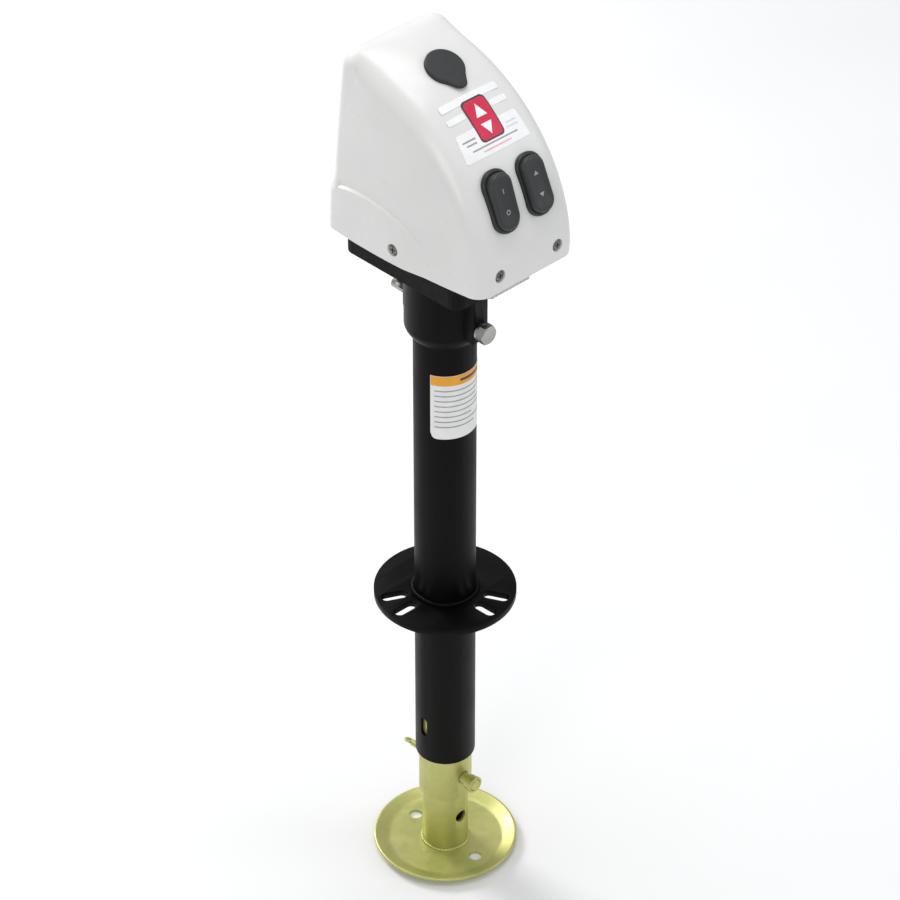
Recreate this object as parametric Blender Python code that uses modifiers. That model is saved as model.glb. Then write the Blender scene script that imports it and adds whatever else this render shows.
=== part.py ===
"""Powered A-frame trailer tongue jack.

A motor in the drive head turns a lift screw through two gear stages. The screw
drives a ram down out of the outer tube, and a pinned drop leg with a round foot
stands in the ram. The jack bolts to a trailer by the flange round its tube.

Metres, +Z up. The origin is on the jack's axis at the underside of the foot,
and the front of the drive head, with its two switches, faces -Y.
"""

import math

import bmesh
import bpy
from mathutils import Matrix, Vector

GAP = 0.0003
MERGE = 0.00001

# Tubes on the jack's axis
TUBE_RADIUS = 0.028575
TUBE_BORE = 0.0258
TUBE_BOTTOM = 0.120
TUBE_TOP = 0.6715
RAM_RADIUS = 0.0254
RAM_BORE = 0.0226
RAM_BOTTOM = 0.070
RAM_TOP = 0.556
LEG_RADIUS = 0.0222
LEG_BORE = 0.0192
LEG_TOP = 0.196
DRAIN_SLOT_HEIGHT = 0.160
DRAIN_SLOT_LENGTH = 0.021
DRAIN_SLOT_WIDTH = 0.008

# Drop leg pin: holes along the leg, the pin in the middle one
PIN_HEIGHT = 0.0945
PIN_PITCH = 0.0525
PIN_RADIUS = 0.006
PIN_HOLE_RADIUS = 0.0065
PIN_FRONT = -0.0425
PIN_SHOULDER = 0.033
PIN_NECK_RADIUS = 0.003
EYE_Y = 0.050
EYE_RADIUS = 0.0043
EYE_WIRE = 0.0013
EYE_TILT = 30.0
KEEPER_RADIUS = 0.0085
KEEPER_HUB_RADIUS = 0.0078
KEEPER_FRONT = -0.0415
KEEPER_THICK = 0.0025
KEEPER_HUB = 0.006

# Foot
FOOT_THICK = 0.0032
FOOT_FLAT_RADIUS = 0.055
FOOT_RIM_RADIUS = 0.070
FOOT_RIM_HEIGHT = 0.0055
FOOT_HOLE_RADIUS = 0.0065
FOOT_HOLE_Y = 0.042

# Mounting flange: three pairs of radial slots
FLANGE_TOP = 0.3164
FLANGE_THICK = 0.00635
FLANGE_RADIUS = 0.0665
WELD_LEG = 0.004
SLOT_PAIR_ANGLES = (-74.5, 45.5, 165.5)
SLOT_HALF_SPREAD = 12.5
SLOT_INNER = 0.037
SLOT_OUTER = 0.062
SLOT_WIDTH = 0.011

# Neck collar, between the tube and the drive head
NECK_RADIUS = 0.0364
NECK_BOTTOM = 0.604
NECK_SHOULDER = 0.615
NECK_TOP = 0.6877
NECK_FLANGE_RADIUS = 0.049
NECK_FLANGE_THICK = 0.006
BOSS_FACE = 0.045
BOSS_WIDTH = 0.019
NECK_BOLT_HEIGHT = 0.626
NECK_BOLT_RADIUS = 0.005
NECK_BOLT_END = 0.021
NECK_BOLT_FLATS = 0.017
NECK_BOLT_HEAD = 0.0077
NECK_WASHER_RADIUS = 0.0088
NECK_WASHER_THICK = 0.0027
NECK_STUD_END = 0.0565
NECK_NUT_FLATS = 0.013
NECK_NUT_INNER = 0.0385
NECK_NUT_THICK = 0.006
NUT_POCKET_RADIUS = 0.0079
NECK_SCREW_REACH = 0.0305
NECK_SCREW_RADIUS = 0.0033
BEARING_SEAT_RADIUS = 0.0205
BEARING_SEAT_BOTTOM = 0.6718
BEARING_SEAT_TOP = 0.684

# Lift screw and its thrust bearing
SCREW_RADIUS = 0.0095
SCREW_BOTTOM = 0.170
SCREW_TOP = 0.735
SHAFT_RADIUS = 0.0085
COLLAR_RADIUS = 0.015
COLLAR_BOTTOM = 0.664
RACE_OUTER = 0.0198
RACE_BORE = 0.0092
RACE_THICK = 0.0025
BALL_RADIUS = 0.0028
NUT_HEIGHT = 0.026

# Drive head cover: a quarter ellipse over the front and top, in side view
COVER_BOTTOM = 0.7095
COVER_WALL = 0.003
ELLIPSE_Y = 0.080
ELLIPSE_Z = 0.720
ELLIPSE_DEPTH = 0.1825
ELLIPSE_RISE = 0.169
FRONT_TUCK = 0.001
REAR_CORNER_Y = 0.0470
REAR_BOTTOM_Y = 0.0785
REAR_CORNER = 0.024
HALF_WIDTH = 0.067
WIDEST_Y = 0.020
BOW = 0.0056
BOW_SPAN = 0.090
DRAFT = 0.0116
DRAFT_POWER = 1.6
DRAFT_HEIGHT = 0.165
FRONT_FILLET = 0.0155
TOP_FILLET = 0.024
REAR_FILLET = 0.013
REAR_BLEND_FRONT = -0.010
REAR_BLEND_BACK = 0.066
CROWN = 0.0055
SKIRT_STEP = 0.0026
SKIRT_CREST_Y = 0.030
SKIRT_CREST_Z = 0.7595
SKIRT_FALL = 4.0
SKIRT_FADE_FRONT = -0.045
SKIRT_FADE_BACK = -0.015
SKIRT_RAMP = 0.0012
ELLIPSE_STEPS = 12
REAR_ARC_STEPS = 4
FLAT_STEPS = 3
FILLET_STEPS = 4
UPPER_ROWS = 2
LOWER_ROWS = 2

# Crank opening and its cap, on the jack's axis
CAP_RADIUS = 0.018
CAP_THICK = 0.004
CAP_PLUG_RADIUS = 0.0134
CAP_PLUG_DEPTH = 0.009
CAP_TAB_REACH = 0.0258
CAP_TAB_WIDTH = 0.011
CAP_SEAT_DEPTH = 0.0016
CRANK_HOLE_RADIUS = 0.014

# Switches, side by side on the front
SWITCH_X = 0.0198
SWITCH_Z = 0.7875
BEZEL_WIDTH = 0.0294
BEZEL_LENGTH = 0.0562
BEZEL_CORNER = 0.0136
BEZEL_PROUD = 0.0022
BEZEL_SEAT = 0.0031
SWITCH_BODY_WIDTH = 0.0276
SWITCH_BODY_LENGTH = 0.0544
SWITCH_BODY_CORNER = 0.0127
SWITCH_BODY_DEPTH = 0.022
WELL_WIDTH = 0.0250
WELL_LENGTH = 0.0516
WELL_CORNER = 0.0114
WELL_DEPTH = 0.0085
ROCKER_WIDTH = 0.0242
ROCKER_LENGTH = 0.0504
ROCKER_CORNER = 0.0110
ROCKER_PROUD = 0.0077
ROCKER_PIVOT = -0.0015
ROCKER_BOTTOM = -0.0045
TRUNNION_RADIUS = 0.0018
LIGHT_ROCKER_TILT = 5.0

# Cover screws
FRONT_SCREW_X = 0.0343
FRONT_SCREW_Z = 0.726
SIDE_SCREW_Y = -0.007
SIDE_SCREW_Z = 0.7235
SCREW_HEAD_RADIUS = 0.0052
SCREW_HEAD_THICK = 0.003
SCREW_SHANK_RADIUS = 0.0021
SCREW_SHANK_LENGTH = 0.012
SCREW_RECESS_RADIUS = 0.0058
SCREW_RECESS_DEPTH = 0.0035
SCREW_BOSS_RADIUS = 0.0085
SCREW_BOSS_DEPTH = 0.0065
TAB_THICK = 0.004

# Tray that closes the head from below
TRAY_BOTTOM = 0.688
TRAY_FLOOR = 0.003
TRAY_WALL = 0.003
TRAY_HALF_WIDTH = 0.0605
TRAY_FRONT = -0.076
TRAY_BACK = 0.0645
TRAY_CORNER = 0.010
LIP_BOTTOM = 0.706
LIP_TOP = 0.709
LIP_HALF_WIDTH = 0.0580
LIP_FRONT = -0.0975
LIP_BACK = 0.0720
LIP_CORNER = 0.018

# Work light under the front of the head
LIGHT_HALF_WIDTH = 0.024
LIGHT_BOTTOM = 0.6866
LIGHT_TOP = 0.7055
LIGHT_FRONT = -0.082
LIGHT_LENS_THICK = 0.002
LIGHT_WALL = 0.0012
LIGHT_BOARD_THICK = 0.001
LEAD_Y = -0.055
LEAD_X = 0.030
LEAD_RADIUS = 0.0045

# Gear case and gears
CASE_HALF_WIDTH = 0.0475
CASE_FRONT = -0.0375
CASE_BACK = 0.0575
CASE_CORNER = 0.013
CASE_WALL = 0.0032
CASE_FLOOR = 0.004
CASE_BOTTOM = TRAY_BOTTOM + TRAY_FLOOR + GAP
CASE_TOP = 0.7177
LID_THICK = 0.004
CASE_POST_RADIUS = 0.0055
LID_SCREW_RADIUS = 0.0018
MOTOR_Y = 0.044
FIRST_MODULE = 0.001
PINION_TEETH = 10
IDLER_TEETH = 40
SECOND_MODULE = 0.00125
SMALL_TEETH = 10
OUTPUT_TEETH = 48
OUTPUT_BOTTOM = 0.6975
OUTPUT_THICK = 0.009
IDLER_SPLIT = 0.7075
IDLER_TOP = 0.7145
TOOTH_SHARE = 0.42
IDLER_SHAFT_RADIUS = 0.003

# Motor
MOTOR_RADIUS = 0.024
MOTOR_BORE = 0.0215
MOTOR_TOP = 0.798
MOTOR_SHAFT_RADIUS = 0.0025
ARMATURE_RADIUS = 0.0175
END_CAP_THICK = 0.0045

# Crank socket on top of the lift screw's shaft
SOCKET_RADIUS = 0.0125
SOCKET_BOTTOM = 0.7265
SOCKET_TOP = 0.838
SOCKET_BORE = 0.0088
SOCKET_DEPTH = 0.040
SOCKET_HEX = 0.0075
SOCKET_PIN_HEIGHT = 0.7305
SOCKET_PIN_RADIUS = 0.0015

STEEL = (0.42, 0.43, 0.42)
ZINC = (0.50, 0.51, 0.21)
BLACK = (0.012, 0.012, 0.011)


# ---------------------------------------------------------------- scene and materials


def clear_scene():
    for obj in list(bpy.data.objects):
        bpy.data.objects.remove(obj, do_unlink=True)


def new_collection(name):
    collection = bpy.data.collections.new(name)
    bpy.context.scene.collection.children.link(collection)
    return collection


def finish(name, colour, roughness, metallic):
    material = bpy.data.materials.new(name)
    material.use_nodes = True
    shader = material.node_tree.nodes["Principled BSDF"]
    shader.inputs["Base Color"].default_value = (*colour, 1.0)
    shader.inputs["Roughness"].default_value = roughness
    shader.inputs["Metallic"].default_value = metallic
    return material


def add_part(name, mesh, material):
    """A visible piece of the jack."""
    mesh.materials.append(material)
    obj = bpy.data.objects.new(name, mesh)
    PARTS.objects.link(obj)
    return obj


def add_tool(name, mesh):
    """A shape that only cuts or joins a piece."""
    obj = bpy.data.objects.new(name, mesh)
    CUTTERS.objects.link(obj)
    obj.hide_render = True
    obj.display_type = "WIRE"
    return obj


def combine(target, other, operation):
    modifier = target.modifiers.new(other.name, "BOOLEAN")
    modifier.operation = operation
    modifier.solver = "EXACT"
    modifier.object = other


def cut(target, *tools):
    for tool in tools:
        combine(target, tool, "DIFFERENCE")


def join(target, *tools):
    for tool in tools:
        combine(target, tool, "UNION")


def bevel(obj, width, segments=2, angle=35.0):
    modifier = obj.modifiers.new("edges", "BEVEL")
    modifier.width = width
    modifier.segments = segments
    modifier.limit_method = "ANGLE"
    modifier.angle_limit = math.radians(angle)


def smooth(mesh):
    mesh.shade_smooth()
    mesh.set_sharp_from_angle(angle=math.radians(35.0))


# ---------------------------------------------------------------- basic shapes


def mesh_from(bm, name):
    mesh = bpy.data.meshes.new(name)
    bm.to_mesh(mesh)
    bm.free()
    return mesh


def turned_mesh(name, profile, closed=True):
    """A profile of (radius, height) points, turned about Z. It runs down its outer side."""
    points = [(radius, 0.0, height) for radius, height in profile]
    edges = [(i, i + 1) for i in range(len(points) - 1)]
    if closed:
        edges.append((len(points) - 1, 0))
    mesh = bpy.data.meshes.new(name)
    mesh.from_pydata(points, edges, [])
    return mesh


def add_screw(obj, segments):
    modifier = obj.modifiers.new("turn", "SCREW")
    modifier.axis = "Z"
    modifier.steps = segments
    modifier.render_steps = segments
    modifier.use_merge_vertices = True
    modifier.merge_threshold = MERGE
    modifier.use_smooth_shade = True


def turned(name, profile, material, segments=28, closed=True, at=(0.0, 0.0)):
    obj = add_part(name, turned_mesh(name, profile, closed), material)
    obj.location = (at[0], at[1], 0.0)
    add_screw(obj, segments)
    return obj


def pipe_profile(outer, inner, bottom, top):
    return [(outer, top), (outer, bottom), (inner, bottom), (inner, top)]


def rod_profile(radius, bottom, top):
    return [(0.0, top), (radius, top), (radius, bottom), (0.0, bottom)]


def cylinder_mesh(name, radius, length, segments):
    bm = bmesh.new()
    bmesh.ops.create_cone(
        bm, cap_ends=True, segments=segments, radius1=radius, radius2=radius, depth=length
    )
    mesh = mesh_from(bm, name)
    smooth(mesh)
    return mesh


def aim(obj, centre, axis):
    """Put an object's origin at centre with its Z along axis."""
    turn = Vector((0.0, 0.0, 1.0)).rotation_difference(Vector(axis))
    obj.matrix_world = Matrix.Translation(centre) @ turn.to_matrix().to_4x4()
    return obj


def cylinder_tool(name, centre, axis, radius, length, segments=16):
    return aim(add_tool(name, cylinder_mesh(name, radius, length, segments)), centre, axis)


def box_mesh(name, low, high):
    bm = bmesh.new()
    size = [b - a for a, b in zip(low, high)]
    middle = [(a + b) / 2 for a, b in zip(low, high)]
    matrix = Matrix.Translation(middle) @ Matrix.Diagonal((*size, 1.0))
    bmesh.ops.create_cube(bm, size=1.0, matrix=matrix)
    return mesh_from(bm, name)


def box_tool(name, low, high):
    return add_tool(name, box_mesh(name, low, high))


def rounded_rectangle(x_low, x_high, y_low, y_high, radius, steps=4):
    corners = (
        (x_high - radius, y_low + radius, -90.0),
        (x_high - radius, y_high - radius, 0.0),
        (x_low + radius, y_high - radius, 90.0),
        (x_low + radius, y_low + radius, 180.0),
    )
    points = []
    for cx, cy, start in corners:
        for step in range(steps + 1):
            angle = math.radians(start + 90.0 * step / steps)
            points.append((cx + radius * math.cos(angle), cy + radius * math.sin(angle)))
    return points


def circle(radius, segments, centre=(0.0, 0.0)):
    turns = [2 * math.pi * i / segments for i in range(segments)]
    return [(centre[0] + radius * math.cos(a), centre[1] + radius * math.sin(a)) for a in turns]


def hexagon(across_flats):
    return circle(across_flats / 2 / math.cos(math.pi / 6), 6)


def plate_mesh(name, outlines, bottom, top):
    """Flat outlines, the first outside and the others holes, made thick along Z."""
    curve = bpy.data.curves.new(name, "CURVE")
    curve.dimensions = "2D"
    curve.fill_mode = "BOTH"
    curve.extrude = (top - bottom) / 2
    for outline in outlines:
        spline = curve.splines.new("POLY")
        spline.points.add(len(outline) - 1)
        for point, (x, y) in zip(spline.points, outline):
            point.co = (x, y, 0.0, 1.0)
        spline.use_cyclic_u = True
    source = bpy.data.objects.new(name + "_outline", curve)
    CUTTERS.objects.link(source)
    graph = bpy.context.evaluated_depsgraph_get()
    mesh = bpy.data.meshes.new_from_object(source.evaluated_get(graph))
    bpy.data.objects.remove(source)
    bpy.data.curves.remove(curve)
    bm = bmesh.new()
    bm.from_mesh(mesh)
    bpy.data.meshes.remove(mesh)
    bmesh.ops.remove_doubles(bm, verts=bm.verts, dist=MERGE)
    bmesh.ops.translate(bm, verts=bm.verts, vec=(0.0, 0.0, (bottom + top) / 2))
    bmesh.ops.recalc_face_normals(bm, faces=bm.faces)
    return mesh_from(bm, name)


def plate(name, outlines, bottom, top, material):
    mesh = plate_mesh(name, outlines, bottom, top)
    smooth(mesh)
    return add_part(name, mesh, material)


def plate_tool(name, outlines, bottom, top):
    return add_tool(name, plate_mesh(name, outlines, bottom, top))


# ---------------------------------------------------------------- foot, leg, ram and tube


def make_foot():
    rise = FOOT_RIM_HEIGHT
    foot = turned(
        "foot_plate",
        [
            (0.0, FOOT_THICK),
            (FOOT_FLAT_RADIUS, FOOT_THICK),
            (FOOT_FLAT_RADIUS + 0.003, FOOT_THICK + 0.16 * rise),
            (FOOT_RIM_RADIUS - 0.002, FOOT_THICK + rise),
            (FOOT_RIM_RADIUS, FOOT_THICK + rise - 0.0008),
            (FOOT_RIM_RADIUS, rise + 0.0006),
            (FOOT_RIM_RADIUS - 0.0012, rise),
            (FOOT_FLAT_RADIUS + 0.004, 0.16 * rise),
            (FOOT_FLAT_RADIUS + 0.001, 0.0),
            (0.0, 0.0),
        ],
        ZINC_PLATE,
        segments=48,
        closed=False,
    )
    for side in (-1, 1):
        hole = cylinder_tool(
            f"foot_hole_{side}", (0, side * FOOT_HOLE_Y, 0), (0, 0, 1), FOOT_HOLE_RADIUS, 0.03
        )
        cut(foot, hole)


def pin_hole(name, height):
    return cylinder_tool(name, (0, 0, height), (0, 1, 0), PIN_HOLE_RADIUS, 0.07)


def make_drop_leg():
    leg = turned(
        "drop_leg", pipe_profile(LEG_RADIUS, LEG_BORE, FOOT_THICK + GAP, LEG_TOP), ZINC_PLATE
    )
    for step in (-1, 0, 1):
        cut(leg, pin_hole(f"leg_hole_{step}", PIN_HEIGHT + step * PIN_PITCH))


def make_ram():
    ram = turned(
        "ram_tube", pipe_profile(RAM_RADIUS, RAM_BORE, RAM_BOTTOM, RAM_TOP), ZINC_PLATE
    )
    cut(ram, pin_hole("ram_hole", PIN_HEIGHT))
    nut_radius = RAM_BORE - GAP
    profile = [
        (nut_radius, RAM_TOP),
        (nut_radius, RAM_TOP - NUT_HEIGHT),
        (SCREW_RADIUS + GAP, RAM_TOP - NUT_HEIGHT),
        (SCREW_RADIUS + GAP, RAM_TOP),
    ]
    turned("lift_nut", profile, BRASS)


def make_outer_tube():
    tube = turned(
        "outer_tube", pipe_profile(TUBE_RADIUS, TUBE_BORE, TUBE_BOTTOM, TUBE_TOP), BLACK_PAINT
    )
    half = (DRAIN_SLOT_LENGTH - DRAIN_SLOT_WIDTH) / 2
    outline = rounded_rectangle(
        -half - DRAIN_SLOT_WIDTH / 2,
        half + DRAIN_SLOT_WIDTH / 2,
        -DRAIN_SLOT_WIDTH / 2,
        DRAIN_SLOT_WIDTH / 2,
        DRAIN_SLOT_WIDTH / 2 - MERGE * 10,
    )
    slot = plate_tool("drain_slot", [outline], -0.05, 0.05)
    slot.rotation_euler = (0.0, math.pi / 2, 0.0)
    slot.location = (0.0, 0.0, DRAIN_SLOT_HEIGHT)
    cut(tube, slot)
    cut(tube, neck_bolt_hole("tube_bolt_hole"))


def make_flange():
    bottom = FLANGE_TOP - FLANGE_THICK
    bore = TUBE_RADIUS + GAP
    flange = turned(
        "mounting_flange",
        [
            (bore, FLANGE_TOP + WELD_LEG),
            (bore + WELD_LEG, FLANGE_TOP),
            (FLANGE_RADIUS - 0.0006, FLANGE_TOP),
            (FLANGE_RADIUS, FLANGE_TOP - 0.0006),
            (FLANGE_RADIUS, bottom + 0.0006),
            (FLANGE_RADIUS - 0.0006, bottom),
            (bore, bottom),
        ],
        BLACK_PAINT,
        segments=48,
    )
    outline = rounded_rectangle(
        SLOT_INNER, SLOT_OUTER, -SLOT_WIDTH / 2, SLOT_WIDTH / 2, SLOT_WIDTH / 2 - MERGE * 10, 4
    )
    for pair, middle in enumerate(SLOT_PAIR_ANGLES):
        for side in (-1, 1):
            name = f"flange_slot_{pair}_{side}"
            slot = plate_tool(name, [outline], bottom - 0.01, FLANGE_TOP + 0.01)
            slot.rotation_euler = (0, 0, math.radians(middle + side * SLOT_HALF_SPREAD))
            cut(flange, slot)


# ---------------------------------------------------------------- pin and keeper


def make_pull_pin():
    """Pin through the ram and the leg, with an eye at the back to pull it by."""
    shoulder = PIN_SHOULDER - PIN_FRONT
    neck = EYE_Y - EYE_RADIUS - PIN_FRONT
    profile = [
        (0.0, neck),
        (PIN_NECK_RADIUS, neck),
        (PIN_NECK_RADIUS, shoulder),
        (PIN_RADIUS - 0.0008, shoulder),
        (PIN_RADIUS, shoulder - 0.0012),
        (PIN_RADIUS, 0.0012),
        (PIN_RADIUS - 0.0012, 0.0),
        (0.0, 0.0),
    ]
    pin = turned("pull_pin", profile, ZINC_PLATE, segments=20, closed=False)
    aim(pin, (0, PIN_FRONT, PIN_HEIGHT), (0, 1, 0))
    section = [(EYE_RADIUS + x, -z) for x, z in circle(EYE_WIRE, 8)]
    eye = add_tool("pin_eye", turned_mesh("pin_eye", section))
    add_screw(eye, 18)
    tilt = math.radians(EYE_TILT)
    aim(eye, (0, EYE_Y, PIN_HEIGHT), (math.sin(tilt), 0, math.cos(tilt)))
    join(pin, eye)


def make_keeper():
    """Push-on keeper over the front end of the pin."""
    bore = PIN_RADIUS + GAP
    profile = [
        (KEEPER_HUB_RADIUS, KEEPER_THICK + KEEPER_HUB),
        (KEEPER_HUB_RADIUS, KEEPER_THICK),
        (KEEPER_RADIUS, KEEPER_THICK),
        (KEEPER_RADIUS, 0.0005),
        (KEEPER_RADIUS - 0.0005, 0.0),
        (bore, 0.0),
        (bore, KEEPER_THICK + KEEPER_HUB),
    ]
    keeper = turned("pin_keeper", profile, ZINC_PLATE, segments=24)
    aim(keeper, (0, KEEPER_FRONT, PIN_HEIGHT), (0, 1, 0))


# ---------------------------------------------------------------- neck, screw and bearing


def neck_bolt_hole(name):
    return cylinder_tool(name, (0, 0, NECK_BOLT_HEIGHT), (0, 1, 0), NECK_BOLT_RADIUS + GAP, 0.13, 18)


def neck_screw_places():
    reach = NECK_SCREW_REACH
    return [(x * reach, y * reach) for x, y in ((-1, -1), (1, -1), (1, 1), (-1, 1))]


def make_neck():
    bore = TUBE_RADIUS + GAP
    neck = turned(
        "neck_collar",
        [
            (NECK_FLANGE_RADIUS, NECK_TOP),
            (NECK_FLANGE_RADIUS, NECK_TOP - NECK_FLANGE_THICK),
            (NECK_RADIUS, NECK_TOP - NECK_FLANGE_THICK),
            (NECK_RADIUS, NECK_SHOULDER),
            (NECK_RADIUS - 0.0015, NECK_SHOULDER - 0.004),
            (bore + 0.0025, NECK_BOTTOM + 0.002),
            (bore + 0.001, NECK_BOTTOM),
            (bore, NECK_BOTTOM),
            (bore, BEARING_SEAT_BOTTOM),
            (BEARING_SEAT_RADIUS, BEARING_SEAT_BOTTOM),
            (BEARING_SEAT_RADIUS, BEARING_SEAT_TOP),
            (SHAFT_RADIUS + 0.0008, BEARING_SEAT_TOP),
            (SHAFT_RADIUS + 0.0008, NECK_TOP),
        ],
        BLACK_PAINT,
        segments=36,
    )
    low = NECK_SHOULDER + 0.0005
    for side in (-1, 1):
        ends = sorted((side * BOSS_FACE, side * (NECK_RADIUS - 0.006)))
        boss = box_tool(
            f"neck_boss_{side}",
            (-BOSS_WIDTH / 2, ends[0], low),
            (BOSS_WIDTH / 2, ends[1], NECK_TOP - NECK_FLANGE_THICK / 2),
        )
        join(neck, boss)
    middle = (0, NECK_NUT_INNER - GAP + 0.01, NECK_BOLT_HEIGHT)
    cut(neck, cylinder_tool("nut_pocket", middle, (0, 1, 0), NUT_POCKET_RADIUS, 0.02, 26))
    cut(neck, neck_bolt_hole("neck_bolt_hole"))
    for number, (x, y) in enumerate(neck_screw_places(), 1):
        cut(neck, neck_screw_hole(f"neck_hole_{number}", x, y))


def neck_screw_hole(name, x, y):
    return cylinder_tool(name, (x, y, NECK_TOP), (0, 0, 1), NECK_SCREW_RADIUS + GAP, 0.03, 12)


def headed_bolt(name, across_flats, head, radius, length, material, segments=20):
    """Hex bolt: the head's underside is at the origin and the shank runs along +Z."""
    bolt = plate(name, [hexagon(across_flats)], -head, 0.0, material)
    shank = add_tool(name + "_shank", cylinder_mesh(name, radius, length + head / 2, segments))
    shank.parent = bolt
    shank.location = (0.0, 0.0, length / 2 - head / 4)
    join(bolt, shank)
    return bolt


def make_neck_fasteners():
    """Bolts that hold the tube in the neck, clear of the lift screw, and the screws above."""
    reach = BOSS_FACE + GAP + NECK_WASHER_THICK
    length = reach - NECK_BOLT_END
    head = NECK_BOLT_HEAD
    bolt = headed_bolt("neck_bolt", NECK_BOLT_FLATS, head, NECK_BOLT_RADIUS, length, STEEL_ZINC)
    aim(bolt, (0, -reach, NECK_BOLT_HEIGHT), (0, 1, 0))
    thick = NECK_WASHER_THICK + 0.001
    washer = add_tool("neck_washer", cylinder_mesh("neck_washer", NECK_WASHER_RADIUS, thick, 24))
    washer.parent = bolt
    washer.location = (0.0, 0.0, NECK_WASHER_THICK - thick / 2)
    join(bolt, washer)
    profile = [
        (0.0, NECK_STUD_END),
        (NECK_BOLT_RADIUS - 0.001, NECK_STUD_END),
        (NECK_BOLT_RADIUS, NECK_STUD_END - 0.001),
        (NECK_BOLT_RADIUS, NECK_BOLT_END),
        (0.0, NECK_BOLT_END),
    ]
    stud = turned("neck_stud", profile, STEEL_ZINC, segments=20, closed=False)
    aim(stud, (0, 0, NECK_BOLT_HEIGHT), (0, 1, 0))
    bore = circle(NECK_BOLT_RADIUS + GAP, 20)
    nut = plate("neck_nut", [hexagon(NECK_NUT_FLATS), bore], 0.0, NECK_NUT_THICK, STEEL_ZINC)
    aim(nut, (0, NECK_NUT_INNER, NECK_BOLT_HEIGHT), (0, 1, 0))
    under = NECK_TOP - NECK_FLANGE_THICK - GAP
    length = CASE_BOTTOM + CASE_FLOOR - under - GAP
    for number, (x, y) in enumerate(neck_screw_places(), 1):
        name = f"neck_screw_{number}"
        screw = headed_bolt(name, 0.010, 0.004, NECK_SCREW_RADIUS, length, STEEL_ZINC, 12)
        screw.location = (x, y, under)


def make_lift_screw():
    """Lift screw, with the collar that carries the load and the shaft through the gears."""
    turned(
        "lift_screw",
        [
            (0.0, SCREW_TOP),
            (SHAFT_RADIUS - 0.001, SCREW_TOP),
            (SHAFT_RADIUS, SCREW_TOP - 0.001),
            (SHAFT_RADIUS, COLLAR_BOTTOM + 0.0078),
            (COLLAR_RADIUS, COLLAR_BOTTOM + 0.0078),
            (COLLAR_RADIUS, COLLAR_BOTTOM),
            (SCREW_RADIUS, COLLAR_BOTTOM - 0.004),
            (SCREW_RADIUS, SCREW_BOTTOM + 0.003),
            (SCREW_RADIUS - 0.002, SCREW_BOTTOM),
            (0.0, SCREW_BOTTOM),
        ],
        BRIGHT_STEEL,
        segments=32,
        closed=False,
    )


def make_thrust_bearing():
    low = BEARING_SEAT_BOTTOM + GAP
    high = BEARING_SEAT_TOP - GAP
    lower = pipe_profile(RACE_OUTER, RACE_BORE, low, low + RACE_THICK)
    upper = pipe_profile(RACE_OUTER, RACE_BORE, high - RACE_THICK, high)
    turned("thrust_race_lower", lower, BRIGHT_STEEL, segments=24)
    turned("thrust_race_upper", upper, BRIGHT_STEEL, segments=24)
    middle = (low + high) / 2
    ring = (RACE_OUTER + RACE_BORE) / 2
    outline = circle(BALL_RADIUS, 8)
    profile = [(ring + x, middle - z) for x, z in outline]
    turned("thrust_ball_ring", profile, BRIGHT_STEEL, segments=24)


# ---------------------------------------------------------------- gears


def gear_outline(teeth, module, phase):
    """Outer outline of a spur gear, with the middle of a tooth at the angle phase."""
    pitch_radius = teeth * module / 2
    root = pitch_radius - 1.25 * module
    tip = pitch_radius + 0.95 * module
    tooth = 2 * math.pi / teeth
    half = tooth * TOOTH_SHARE / 2
    points = []
    for number in range(teeth):
        middle = phase + number * tooth
        stations = ((root, -1.5 * half), (tip, -0.5 * half), (tip, 0.5 * half), (root, 1.5 * half))
        for radius, offset in stations:
            angle = middle + offset
            points.append((radius * math.cos(angle), radius * math.sin(angle)))
    return points


def idler_place():
    """The idler's axis, at its working distance from both the output gear and the motor."""
    to_output = (SMALL_TEETH + OUTPUT_TEETH) * SECOND_MODULE / 2
    to_motor = (PINION_TEETH + IDLER_TEETH) * FIRST_MODULE / 2
    y = (to_output**2 - to_motor**2 + MOTOR_Y**2) / (2 * MOTOR_Y)
    return math.sqrt(to_output**2 - y**2), y


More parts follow.
